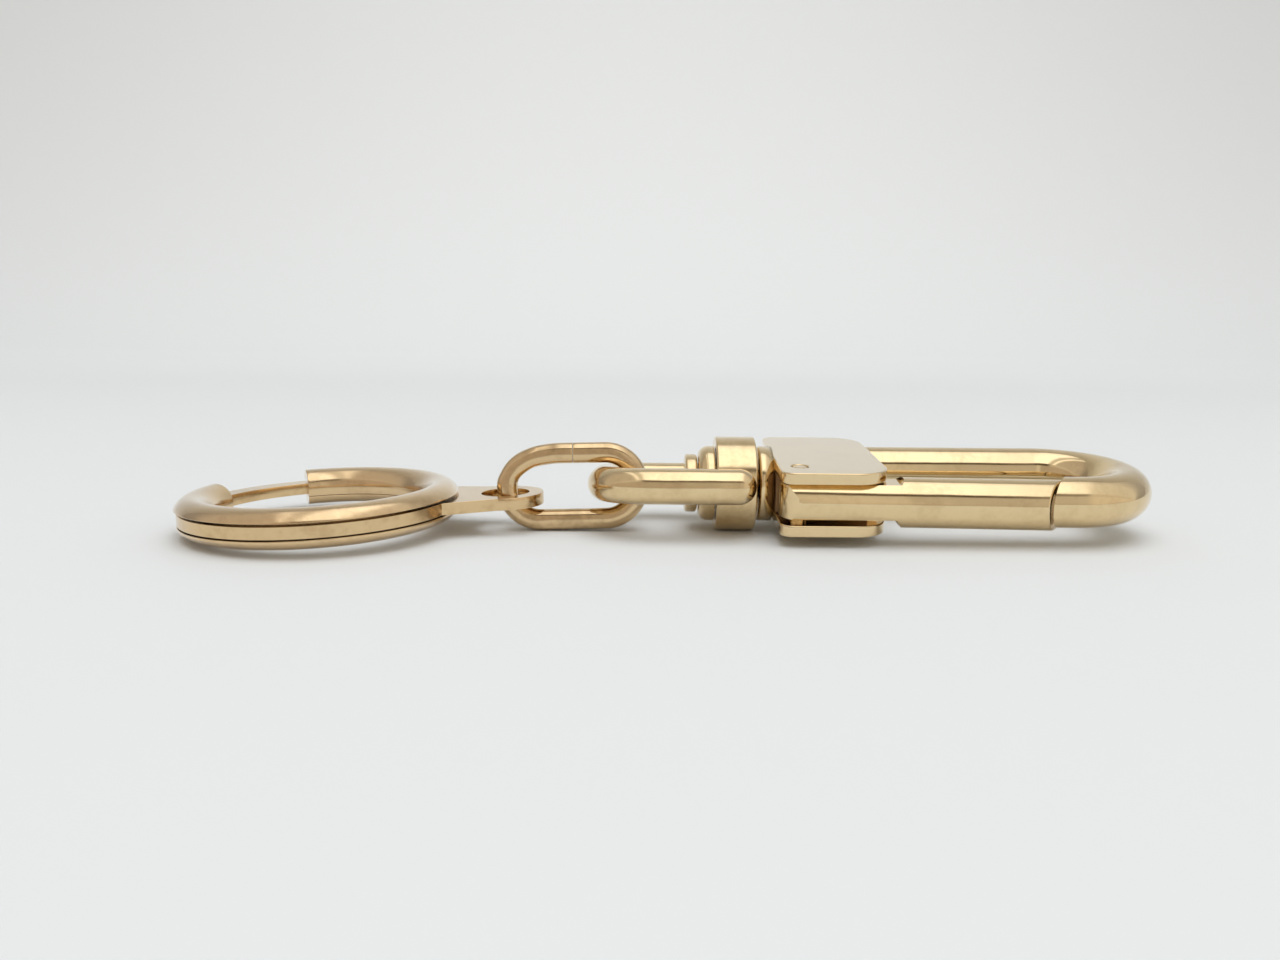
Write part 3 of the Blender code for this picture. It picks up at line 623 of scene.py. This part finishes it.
def cheek_shape(low):
    """A cheek plate with rounded corners and the hole that the gate's pivot is riveted in."""
    half = CHEEK_WIDTH / 2
    bm = block((CHEEK_START, -half, low), (CHEEK_END, half, low + CHEEK_THICKNESS))
    for x, radius in ((CHEEK_START, CHEEK_NECK_CORNER), (CHEEK_END, CHEEK_NOSE_CORNER)):
        upright = [
            e
            for e in bm.edges
            if abs(e.verts[0].co.x - x) < SEAM_GAP
            and (e.verts[0].co - e.verts[1].co).cross(AXIS_Z).length < SEAM_GAP
        ]
        bmesh.ops.bevel(
            bm,
            geom=upright,
            offset=radius,
            offset_type="OFFSET",
            segments=CORNER_STEPS * 3,
            profile=0.5,
            affect="EDGES",
            material=-1,
        )
    start = (PIVOT_X, PIVOT_Y, low - CHEEK_THICKNESS)
    end = (PIVOT_X, PIVOT_Y, low + 2 * CHEEK_THICKNESS)
    bm = cut(bm, rod(PIVOT_RADIUS + SEAM_GAP, start, end))
    ease(bm, CHEEK_EDGE, 5)
    return bm


def clasp_core_shape():
    """The block between the cheeks: it holds the post, backs the spring and stops the gate."""
    left = CHEEK_START + SEAM_GAP
    right = CHEEK_END - CORE_SETBACK
    back = BAR_SPREAD - BAR_RADIUS - SEAM_GAP
    slope_end = CORE_FRONT + (right - PIVOT_X) * math.tan(GATE_STOP_ANGLE)
    half = CHEEK_INNER - SEAM_GAP
    bm = bmesh.new()
    first = bm.verts.new((left, CORE_FRONT, -half))
    last = first
    for x, y in ((PIVOT_X, CORE_FRONT), (right, slope_end), (right, back), (left, back)):
        last = line_to(bm, last, (x, y, -half))
    bm.edges.new((last, first))
    run(bm, fill(bm), (0, 0, 2 * half))
    spigot = rod(POST_RADIUS + SEAM_GAP, (0, 0, 0), (NECK_END + POST_SPIGOT + TURNING_GAP, 0, 0))
    pocket = rod(SPRING_RADIUS + SPRING_WIRE, (SPRING_X, -BAR_SPREAD, 0), (SPRING_X, SPRING_FLOOR, 0))
    bm = cut(bm, spigot, pocket)
    ease(bm, CORE_EDGE, 2)
    return bm


def beyond_seam(side, gap):
    """A block whose slanted face stands a gap away from the seam of gate and nose."""
    reach = 4 * BAR_RADIUS
    wide = 2 * BAR_RADIUS
    near, far = -gap * side, reach * side
    bm = block((min(near, far), -wide, -wide), (max(near, far), wide, wide))
    turn = Matrix.Rotation(-GATE_END_SLANT, 4, "Z")
    place = Matrix.Translation((GATE_END, -BAR_SPREAD, 0)) @ turn
    bmesh.ops.transform(bm, matrix=place, verts=bm.verts)
    return bm


def off_seam(edge):
    """Whether an edge lies away from the end faces of gate and nose."""
    across = Matrix.Rotation(-GATE_END_SLANT, 3, "Z") @ AXIS_X
    seam = Vector((GATE_END, -BAR_SPREAD, 0))
    return any(abs((vert.co - seam).dot(across)) > TIP_GAP for vert in edge.verts)


def hook_shape():
    """The fixed bar: root between the cheeks, spine, bend and nose."""
    bm = bmesh.new()
    root = CHEEK_START + SEAM_GAP
    face = disc(bm, BAR_RADIUS, (root, BAR_SPREAD, 0), AXIS_X)
    face = run(bm, face, (BEND_CENTRE_X - root, 0, 0))
    face = bend(bm, face, (BEND_CENTRE_X, 0, 0), AXIS_Z, -math.pi, 2 * BEND_STEPS)
    run(bm, face, (GATE_END - BEND_CENTRE_X - 2 * BAR_RADIUS, 0, 0))
    end = CHEEK_END + SEAM_GAP
    half = CHEEK_INNER - SEAM_GAP
    wide = 2 * BAR_RADIUS
    above = block((0, BAR_SPREAD - wide, half), (end, BAR_SPREAD + wide, wide))
    below = block((0, BAR_SPREAD - wide, -wide), (end, BAR_SPREAD + wide, -half))
    bm = cut(bm, above, below, beyond_seam(-1, TIP_GAP / 2))
    ease(bm, SEAM_RIM, 6, off_seam)
    ease(bm, HOOK_EDGE)
    return bm


def mill_path(end, low, high):
    """The room that a cutter clears for a flat on the gate, with its round side towards the tip."""
    bm = bmesh.new()
    half = math.asin(MILL_HALF_WIDTH / MILL_RADIUS)
    centre = Vector((end - MILL_RADIUS, -BAR_SPREAD, low))
    start = centre + Matrix.Rotation(-half, 3, "Z") @ Vector((MILL_RADIUS, 0, 0))
    first = bm.verts.new((-BAR_RADIUS, start.y, low))
    last = line_to(bm, first, start)
    last = arc_to(bm, last, centre, AXIS_Z, 2 * half, CUTTER_STEPS)
    last = line_to(bm, last, (-BAR_RADIUS, last.co.y, low))
    bm.edges.new((last, first))
    run(bm, fill(bm), (0, 0, high - low))
    return bm


def gate_shape():
    """The sprung gate: a round bar with a thinned tongue on the pivot, its free end sagging a little."""
    bm = bmesh.new()
    reach = GATE_END + 2 * BAR_RADIUS
    face = disc(bm, GATE_ROOT_RADIUS, (GATE_HEEL, -BAR_SPREAD, 0), AXIS_X)
    length = reach - GATE_HEEL
    sag = GATE_SAG * length / (GATE_END - GATE_HEEL)
    run(bm, face, (length, 0, -sag), BAR_RADIUS / GATE_ROOT_RADIUS)
    heel = bmesh.new()
    wide = 2 * BAR_RADIUS
    centre = Vector((GATE_HEEL + BAR_RADIUS, -BAR_SPREAD, -wide))
    first = heel.verts.new((reach + BAR_RADIUS, -BAR_SPREAD - BAR_RADIUS, -wide))
    last = line_to(heel, first, (reach + BAR_RADIUS, -BAR_SPREAD + BAR_RADIUS, -wide))
    last = line_to(heel, last, (centre.x, -BAR_SPREAD + BAR_RADIUS, -wide))
    last = arc_to(heel, last, centre, AXIS_Z, math.pi, 2 * CUTTER_STEPS)
    heel.edges.new((last, first))
    run(heel, fill(heel), (0, 0, 2 * wide))
    bm = cut(bm, heel, operation="INTERSECT")
    above = mill_path(SHOULDER_X, GATE_TOP_FLAT, wide)
    below = mill_path(SHOULDER_X, -wide, -GATE_BASE_FLAT)
    pivot = rod(PIVOT_RADIUS + RUNNING_GAP, (PIVOT_X, PIVOT_Y, -wide), (PIVOT_X, PIVOT_Y, wide))
    seat_mouth = (SPRING_X, GATE_FACE + BAR_RADIUS, 0)
    seat_floor = (SPRING_X, GATE_FACE - SPRING_SEAT_DEPTH, 0)
    seat = rod(SPRING_RADIUS + SPRING_WIRE, seat_floor, seat_mouth)
    bm = cut(bm, above, below, beyond_seam(1, TIP_GAP / 2), pivot, seat)
    ease(bm, SEAM_RIM, 6, off_seam)
    ease(bm, GATE_EDGE)
    return bm


def gate_pivot_pin_shape():
    """The pin that the gate turns on, riveted flush with both cheeks."""
    half = CHEEK_OUTER - SEAM_GAP
    bm = rod(PIVOT_RADIUS, (PIVOT_X, PIVOT_Y, -half), (PIVOT_X, PIVOT_Y, half))
    ease(bm, PIN_RIM, 6)
    return bm


def gate_spring_shape():
    """The compression spring that shuts the gate, wound from one small disc."""
    bm = bmesh.new()
    start = GATE_FACE - SPRING_SEAT_DEPTH + SPRING_WIRE
    end = SPRING_FLOOR - SPRING_WIRE
    face = disc(bm, SPRING_WIRE / 2, (SPRING_RADIUS, 0, 0), AXIS_Z, SPRING_SIDES)
    steps = SPRING_TURNS * SPRING_TURN_STEPS
    bmesh.ops.spin(
        bm,
        geom=[face, *face.edges, *face.verts],
        cent=(0, 0, 0),
        axis=AXIS_Y,
        dvec=(0, (end - start) / steps, 0),
        angle=-math.tau * SPRING_TURNS,
        steps=steps,
    )
    bmesh.ops.translate(bm, verts=bm.verts, vec=(SPRING_X, start, 0))
    return bm


def node(tree, kind, **settings):
    """Adds a shader node."""
    made = tree.nodes.new(kind)
    for key, value in settings.items():
        setattr(made, key, value)
    return made


def join(tree, value, socket):
    """Links a socket or sets a plain value."""
    if isinstance(value, bpy.types.NodeSocket):
        tree.links.new(value, socket)
    else:
        socket.default_value = value


def sum_up(tree, operation, first, second, third=None):
    """One step of arithmetic on a mask or a value."""
    made = node(tree, "ShaderNodeMath", operation=operation)
    join(tree, first, made.inputs[0])
    join(tree, second, made.inputs[1])
    if third is not None:
        join(tree, third, made.inputs[2])
    return made.outputs[0]


def spread(tree, value, low, high, to_low=0.0, to_high=1.0):
    """Spreads the part of a value between two bounds over another range."""
    made = node(tree, "ShaderNodeMapRange", interpolation_type="SMOOTHSTEP")
    join(tree, value, made.inputs["Value"])
    for name, bound in (("From Min", low), ("From Max", high), ("To Min", to_low), ("To Max", to_high)):
        join(tree, bound, made.inputs[name])
    return made.outputs["Result"]


def clouds(tree, place, scale, detail, roughness=0.5):
    """Soft noise of a number of features to the metre."""
    made = node(tree, "ShaderNodeTexNoise")
    join(tree, place, made.inputs["Vector"])
    join(tree, scale, made.inputs["Scale"])
    join(tree, detail, made.inputs["Detail"])
    join(tree, roughness, made.inputs["Roughness"])
    return made.outputs["Fac"]


def stretched(tree, place, scale, turn):
    """A place stretched unevenly, for marks that run along one way."""
    made = node(tree, "ShaderNodeMapping")
    join(tree, place, made.inputs["Vector"])
    made.inputs["Rotation"].default_value = turn
    made.inputs["Scale"].default_value = scale
    return made.outputs["Vector"]


def new_group(name, inputs, outputs):
    """An empty shader node group with named sockets."""
    tree = bpy.data.node_groups.new(name, "ShaderNodeTree")
    for label, kind, value in inputs:
        socket = tree.interface.new_socket(label, in_out="INPUT", socket_type=kind)
        socket.default_value = value
    for label, kind in outputs:
        tree.interface.new_socket(label, in_out="OUTPUT", socket_type=kind)
    return tree, node(tree, "NodeGroupInput"), node(tree, "NodeGroupOutput")


def polish_group():
    """How hand polishing leaves gold: cloudy sheen, fine drawn lines, stray scratches and soft waves."""
    tree, given, out = new_group(
        "hand_polish",
        (
            ("Place", "NodeSocketVector", (0.0, 0.0, 0.0)),
            ("Gold", "NodeSocketColor", (0.8, 0.6, 0.4, 1.0)),
            ("Tarnish", "NodeSocketColor", (0.5, 0.3, 0.2, 1.0)),
            ("Tarnish Share", "NodeSocketFloat", 0.3),
            ("Sheen", "NodeSocketFloat", 0.1),
            ("Haze", "NodeSocketFloat", 0.1),
            ("Scratches", "NodeSocketFloat", 0.5),
            ("Waves", "NodeSocketFloat", 0.5),
        ),
        (
            ("Colour", "NodeSocketColor"),
            ("Roughness", "NodeSocketFloat"),
            ("Height", "NodeSocketFloat"),
        ),
    )
    large_share = 0.65
    line_share = 0.25
    scratch_dullness = 0.12
    scratch_height = -0.02
    place = given.outputs["Place"]
    large = clouds(tree, place, scale=260.0, detail=4.0, roughness=0.55)
    small = clouds(tree, place, scale=1500.0, detail=3.0, roughness=0.6)
    fine = sum_up(tree, "MULTIPLY", small, 1.0 - large_share)
    cloud = sum_up(tree, "MULTIPLY_ADD", large, large_share, fine)
    stain = spread(tree, cloud, low=0.44, high=0.66)
    share = sum_up(tree, "MULTIPLY", stain, given.outputs["Tarnish Share"])
    tint = node(tree, "ShaderNodeMix", data_type="RGBA")
    tree.links.new(share, tint.inputs["Factor"])
    tree.links.new(given.outputs["Gold"], tint.inputs["A"])
    tree.links.new(given.outputs["Tarnish"], tint.inputs["B"])
    tree.links.new(tint.outputs["Result"], out.inputs["Colour"])
    drawn = stretched(tree, place, scale=(0.06, 1.0, 1.0), turn=(0.0, 0.05, 0.12))
    lines = clouds(tree, drawn, scale=14000.0, detail=2.0)
    crossed = stretched(tree, place, scale=(1.0, 0.05, 0.4), turn=(0.3, 0.2, 0.7))
    strays = clouds(tree, crossed, scale=9000.0, detail=1.0)
    stray = spread(tree, strays, low=0.69, high=0.74)
    worn = sum_up(tree, "MULTIPLY", stray, spread(tree, large, low=0.46, high=0.6))
    mark = sum_up(tree, "MULTIPLY_ADD", lines, line_share, worn)
    scored = sum_up(tree, "MULTIPLY", mark, given.outputs["Scratches"])
    hazy = sum_up(tree, "MULTIPLY_ADD", cloud, given.outputs["Haze"], given.outputs["Sheen"])
    dull = sum_up(tree, "MULTIPLY_ADD", scored, scratch_dullness, hazy)
    tree.links.new(dull, out.inputs["Roughness"])
    swell = clouds(tree, place, scale=330.0, detail=1.0, roughness=0.4)
    wave = sum_up(tree, "MULTIPLY", swell, given.outputs["Waves"])
    height = sum_up(tree, "MULTIPLY_ADD", scored, scratch_height, wave)
    tree.links.new(height, out.inputs["Height"])
    return tree


def round_place_group():
    """Turns a place into its way round, its distance from and its height along an upright axis."""
    tree, given, out = new_group(
        "way_round_ring",
        (("Place", "NodeSocketVector", (0.0, 0.0, 0.0)),),
        (("Way Round", "NodeSocketVector"),),
    )
    parts = node(tree, "ShaderNodeSeparateXYZ")
    tree.links.new(given.outputs["Place"], parts.inputs[0])
    x, y, z = parts.outputs
    angle = sum_up(tree, "ARCTAN2", y, x)
    way = sum_up(tree, "MULTIPLY", angle, RING_MEAN_RADIUS)
    square = sum_up(tree, "MULTIPLY_ADD", x, x, sum_up(tree, "MULTIPLY", y, y))
    joined = node(tree, "ShaderNodeCombineXYZ")
    tree.links.new(way, joined.inputs[0])
    tree.links.new(sum_up(tree, "SQRT", square, 0.0), joined.inputs[1])
    tree.links.new(z, joined.inputs[2])
    tree.links.new(joined.outputs[0], out.inputs["Way Round"])
    return tree


def use_group(tree, group):
    """Places a node group in a material."""
    return node(tree, "ShaderNodeGroup", node_tree=group)


def metal(name, polish, colours, sheen, haze, tarnish, scratches, waves, coat, way=None):
    """Polished metal with the marks of its making and of wear."""
    made = bpy.data.materials.new(name)
    made.use_nodes = True
    tree = made.node_tree
    shader = tree.nodes["Principled BSDF"]
    place = node(tree, "ShaderNodeTexCoord").outputs["Object"]
    if way:
        centre = node(tree, "ShaderNodeMapping")
        centre.inputs["Location"].default_value = -way[1]
        tree.links.new(place, centre.inputs["Vector"])
        ring = use_group(tree, way[0])
        tree.links.new(centre.outputs["Vector"], ring.inputs["Place"])
        place = ring.outputs["Way Round"]
    finish = use_group(tree, polish)
    tree.links.new(place, finish.inputs["Place"])
    for label, value in (
        ("Gold", (*colours[0], 1.0)),
        ("Tarnish", (*colours[1], 1.0)),
        ("Tarnish Share", tarnish),
        ("Sheen", sheen),
        ("Haze", haze),
        ("Scratches", scratches),
        ("Waves", waves),
    ):
        finish.inputs[label].default_value = value
    relief = node(tree, "ShaderNodeBump")
    relief.inputs["Distance"].default_value = WAVE_DEPTH
    tree.links.new(finish.outputs["Height"], relief.inputs["Height"])
    tree.links.new(finish.outputs["Colour"], shader.inputs["Base Color"])
    tree.links.new(finish.outputs["Roughness"], shader.inputs["Roughness"])
    tree.links.new(relief.outputs["Normal"], shader.inputs["Normal"])
    shader.inputs["Metallic"].default_value = 1.0
    shader.inputs["Coat Weight"].default_value = coat
    shader.inputs["Coat Roughness"].default_value = sheen
    return made


def make_pieces():
    """Makes every piece of the key ring and lets it ride on its body."""
    place = places()
    polish = polish_group()
    way = (round_place_group(), place["ring"].translation)
    rose = ((0.73, 0.53, 0.29), (0.54, 0.36, 0.18))
    brown = ((0.71, 0.515, 0.285), (0.47, 0.32, 0.165))
    yellow = ((0.79, 0.61, 0.345), (0.57, 0.40, 0.20))
    # painted shade: dark brown colours for the core, standing for the shade that falls between the cheeks
    # rather than the gold's own colour
    core_shade_colours = ((0.30, 0.19, 0.10), (0.16, 0.09, 0.05))
    grey = ((0.5, 0.5, 0.52), (0.3, 0.28, 0.26))
    sleeve_gold = metal(
        "sleeve_gold", polish, rose,
        sheen=0.14, haze=0.10, tarnish=0.5, scratches=0.2, waves=0.35, coat=1.0, way=way,
    )
    plate_gold = metal(
        "plate_gold", polish, rose,
        sheen=0.08, haze=0.12, tarnish=0.6, scratches=0.4, waves=0.35, coat=0.3, way=way,
    )
    link_gold = metal(
        "link_gold", polish, brown,
        sheen=0.08, haze=0.12, tarnish=0.7, scratches=0.6, waves=0.9, coat=0.5,
    )
    bail_gold = metal(
        "bail_gold", polish, yellow,
        sheen=0.09, haze=0.12, tarnish=0.4, scratches=0.5, waves=1.0, coat=0.5,
    )
    swivel_gold = metal(
        "swivel_gold", polish, yellow,
        sheen=0.10, haze=0.14, tarnish=0.5, scratches=0.6, waves=0.8, coat=0.5,
    )
    cheek_gold = metal(
        "cheek_gold", polish, yellow,
        sheen=0.07, haze=0.06, tarnish=0.2, scratches=0.4, waves=0.25, coat=1.0,
    )
    bar_gold = metal(
        "bar_gold", polish, yellow,
        sheen=0.07, haze=0.08, tarnish=0.35, scratches=0.4, waves=0.5, coat=0.5,
    )
    # The clasp core's dark colour is painted shade between the cheek plates.
    core_painted_shade = metal(
        "core_painted_shade", polish, core_shade_colours,
        sheen=0.40, haze=0.20, tarnish=0.7, scratches=0.8, waves=0.5, coat=0.0,
    )
    spring_steel = metal(
        "spring_steel", polish, grey,
        sheen=0.25, haze=0.10, tarnish=0.5, scratches=1.0, waves=0.2, coat=0.0,
    )
    pieces = {}
    for name, shape, where, material, body, slot in (
        ("ring_sleeve_upper", sleeve_upper_shape(), "ring", sleeve_gold, "sleeve", "ring_sleeve_gold"),
        ("ring_sleeve_lower", sleeve_lower_shape(), "ring", sleeve_gold, "sleeve", "ring_sleeve_gold"),
        ("ring_plate", ring_plate_shape(), "ring", plate_gold, "ring", "ring_plate_gold"),
        ("oval_link", oval_link_shape(), "link", link_gold, "link", "link_gold"),
        ("bail", bail_shape(), "swivel", bail_gold, "swivel", "bail_gold"),
        ("swivel_collar", swivel_collar_shape(), "swivel", swivel_gold, "swivel", "swivel_gold"),
        ("swivel_washer", swivel_washer_shape(), "clasp", swivel_gold, "clasp", "swivel_gold"),
        ("swivel_post", swivel_post_shape(), "clasp", swivel_gold, "clasp", "swivel_gold"),
        ("upper_plate", cheek_shape(CHEEK_INNER), "clasp", cheek_gold, "clasp", "cheek_gold"),
        ("lower_plate", cheek_shape(-CHEEK_OUTER), "clasp", cheek_gold, "clasp", "cheek_gold"),
        ("clasp_core", clasp_core_shape(), "clasp", core_painted_shade, "clasp", "bar_gold"),
        ("hook", hook_shape(), "clasp", bar_gold, "clasp", "bar_gold"),
        ("gate", gate_shape(), "clasp", bar_gold, "gate", "bar_gold"),
        ("gate_pivot_pin", gate_pivot_pin_shape(), "clasp", bar_gold, "clasp", "bar_gold"),
        ("gate_spring", gate_spring_shape(), "clasp", spring_steel, "clasp", "spring_steel"),
    ):
        pieces[name] = finish_piece(f"{name}_finished", shape, place[where], material, body, name)
    spring = pieces["gate_spring"]
    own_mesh(spring)


def tabletop():
    """The seamless pale sheet under and behind the key ring."""
    bm = bmesh.new()
    first = bm.verts.new((-SHEET_WIDTH / 2, -SHEET_NEAR, 0))
    last = line_to(bm, first, (-SHEET_WIDTH / 2, SHEET_DEPTH, 0))
    last = arc_to(bm, last, (0, SHEET_DEPTH, SHEET_BEND), AXIS_X, SHEET_TURN, SHEET_STEPS)
    line_to(bm, last, last.co + Vector(SHEET_BACK))
    made = bmesh.ops.extrude_edge_only(bm, edges=bm.edges[:])
    verts = [item for item in made["geom"] if isinstance(item, bmesh.types.BMVert)]
    bmesh.ops.translate(bm, verts=verts, vec=(SHEET_WIDTH, 0, 0))
    bmesh.ops.recalc_face_normals(bm, faces=bm.faces)
    mesh = bpy.data.meshes.new("tabletop")
    bm.to_mesh(mesh)
    bm.free()
    mesh.shade_smooth()
    sheet = bpy.data.objects.new("tabletop", mesh)
    bpy.context.scene.collection.objects.link(sheet)
    paper = bpy.data.materials.new("pale_paper")
    paper.use_nodes = True
    shader = paper.node_tree.nodes["Principled BSDF"]
    shader.inputs["Base Color"].default_value = (*PAPER, 1)
    shader.inputs["Roughness"].default_value = 0.7
    shader.inputs["Specular IOR Level"].default_value = 0.2
    mesh.materials.append(paper)


def tent_light():
    """The inside of a small white tent: a bright top, greyer walls and the seam between them.

    Heights are degrees up from the front, and sides run from 0 at the left to 1 at the right.
    """
    world = bpy.data.worlds.new("tent")
    bpy.context.scene.world = world
    world.use_nodes = True
    tree = world.node_tree
    background = tree.nodes["Background"]
    direction = node(tree, "ShaderNodeTexCoord")
    parts = node(tree, "ShaderNodeSeparateXYZ")
    tree.links.new(direction.outputs["Generated"], parts.inputs[0])
    ahead = sum_up(tree, "MULTIPLY", parts.outputs["Y"], -1.0)
    height = sum_up(tree, "ARCTAN2", parts.outputs["Z"], ahead)
    share = sum_up(tree, "DIVIDE", height, math.pi)
    side = sum_up(tree, "MULTIPLY_ADD", parts.outputs["X"], 0.5, 0.5)
    behind = 180.0
    seam_low, seam_high = 39.0, 49.5
    seam_fade, seam_edge = 3.0, 2.5
    top_end, top_fade = 100.0, 28.0
    wall = shades(tree, share, [
        (0.0, (0.47, 0.42, 0.36)),
        (3.0, (0.62, 0.58, 0.53)),
        (16.0, (0.64, 0.60, 0.55)),
        (seam_low - seam_fade, (0.62, 0.59, 0.54)),
        (seam_low, (0.10, 0.08, 0.06)),
        (seam_high - seam_edge, (0.12, 0.09, 0.07)),
        (seam_high, (0.0, 0.0, 0.0)),
        (behind, (0.0, 0.0, 0.0)),
    ], behind)
    wall_side = shades(tree, side, [
        (0.30, (0.86, 0.80, 0.76)),
        (0.47, (0.78, 0.74, 0.70)),
        (0.54, (0.82, 0.80, 0.78)),
        (0.575, (1.20, 1.20, 1.18)),
        (0.61, (1.20, 1.20, 1.18)),
        (0.64, (0.92, 0.92, 0.92)),
        (0.67, (0.92, 0.92, 0.92)),
        (0.76, (1.25, 1.23, 1.20)),
    ])
    top = shades(tree, share, [
        (seam_high - seam_edge, (0.0, 0.0, 0.0)),
        (seam_high, (1.68, 1.69, 1.70)),
        (top_end, (1.64, 1.66, 1.70)),
        (top_end + top_fade, (0.98, 1.01, 1.06)),
        (behind, (0.74, 0.76, 0.79)),
    ], behind)
    top_side = shades(tree, side, [
        (0.28, (0.36, 0.33, 0.30)),
        (0.325, (0.38, 0.35, 0.32)),
        (0.340, (0.90, 0.88, 0.85)),
        (0.360, (0.90, 0.88, 0.85)),
        (0.385, (0.42, 0.40, 0.37)),
        (0.425, (0.46, 0.44, 0.41)),
        (0.46, (1.0, 1.0, 1.0)),
        (0.64, (1.0, 1.0, 1.0)),
        (0.74, (0.54, 0.52, 0.49)),
        (0.90, (0.46, 0.44, 0.41)),
    ])
    seam = shades(tree, share, [
        (seam_low - seam_fade, (0.0, 0.0, 0.0)),
        (seam_low, (0.56, 0.54, 0.50)),
        (seam_high - seam_edge, (0.62, 0.60, 0.56)),
        (seam_high, (0.0, 0.0, 0.0)),
        (behind, (0.0, 0.0, 0.0)),
    ], behind)
    seam_side = shades(tree, side, [
        (0.38, (1.0, 1.0, 1.0)),
        (0.44, (0.0, 0.0, 0.0)),
        (0.655, (0.0, 0.0, 0.0)),
        (0.74, (1.0, 1.0, 1.0)),
    ])
    lower, upper, faded, walls, sky = (node(tree, "ShaderNodeMix", data_type="RGBA") for _ in range(5))
    for made, blend, first, second in (
        (lower, "MULTIPLY", wall, wall_side),
        (upper, "MULTIPLY", top, top_side),
        (faded, "MULTIPLY", seam, seam_side),
        (walls, "ADD", lower.outputs["Result"], faded.outputs["Result"]),
        (sky, "ADD", walls.outputs["Result"], upper.outputs["Result"]),
    ):
        made.blend_type = blend
        made.inputs["Factor"].default_value = 1.0
        tree.links.new(first, made.inputs["A"])
        tree.links.new(second, made.inputs["B"])
    tree.links.new(sky.outputs["Result"], background.inputs["Color"])
    background.inputs["Strength"].default_value = 1.0


def shades(tree, value, stops, reach=1.0):
    """A ramp of colours along a value, with its stops given over a reach."""
    made = node(tree, "ShaderNodeValToRGB")
    kept = made.color_ramp.elements
    kept.remove(kept[1])
    for count, (place, shade) in enumerate(stops):
        stop = kept[0] if count == 0 else kept.new(place / reach)
        stop.position = place / reach
        stop.color = (*shade, 1)
    tree.links.new(value, made.inputs["Fac"])
    return made.outputs["Color"]


def softboxes():
    """Wide lamps: two above the key ring draw its shadow close in front of it, one lights the backdrop."""
    for name, place, facing, size, power in (
        ("top_lamp", (0.0, -0.10, 0.55), (0.0, -0.10, 0.55), 0.5, 0.95),
        ("front_lamp", (0.0, -0.5, 0.45), (0.0, -0.5, 0.45), 0.6, 0.38),
        ("backdrop_lamp", (0.0, 0.20, 0.45), (0.0, -1.0, 0.0), 0.5, 0.70),
    ):
        data = bpy.data.lights.new(name, "AREA")
        data.shape = "SQUARE"
        data.size = size
        data.energy = power
        lamp = bpy.data.objects.new(name, data)
        lamp.visible_glossy = False
        lamp.visible_camera = False
        back = Vector(facing).normalized()
        turn = back.to_track_quat("Z", "Y").to_matrix().to_4x4()
        lamp.matrix_world = Matrix.Translation(place) @ turn
        bpy.context.scene.collection.objects.link(lamp)


def photo_camera():
    """The camera in front of the key ring, a little above it."""
    data = bpy.data.cameras.new("photo_camera")
    data.sensor_fit = "HORIZONTAL"
    data.sensor_width = SENSOR_WIDTH
    data.lens = LENS
    data.clip_start = 0.005
    data.clip_end = 20.0
    camera = bpy.data.objects.new("photo_camera", data)
    turn = Matrix.Rotation(-CAMERA_YAW, 4, "Z") @ Matrix.Rotation(math.pi / 2 - CAMERA_PITCH, 4, "X")
    turn = turn @ Matrix.Rotation(CAMERA_ROLL, 4, "Z")
    camera.matrix_world = Matrix.Translation(CAMERA_PLACE) @ turn
    bpy.context.scene.collection.objects.link(camera)
    bpy.context.scene.camera = camera


bpy.context.scene.view_settings.view_transform = "Standard"
make_pieces()
tabletop()
tent_light()
softboxes()
photo_camera()
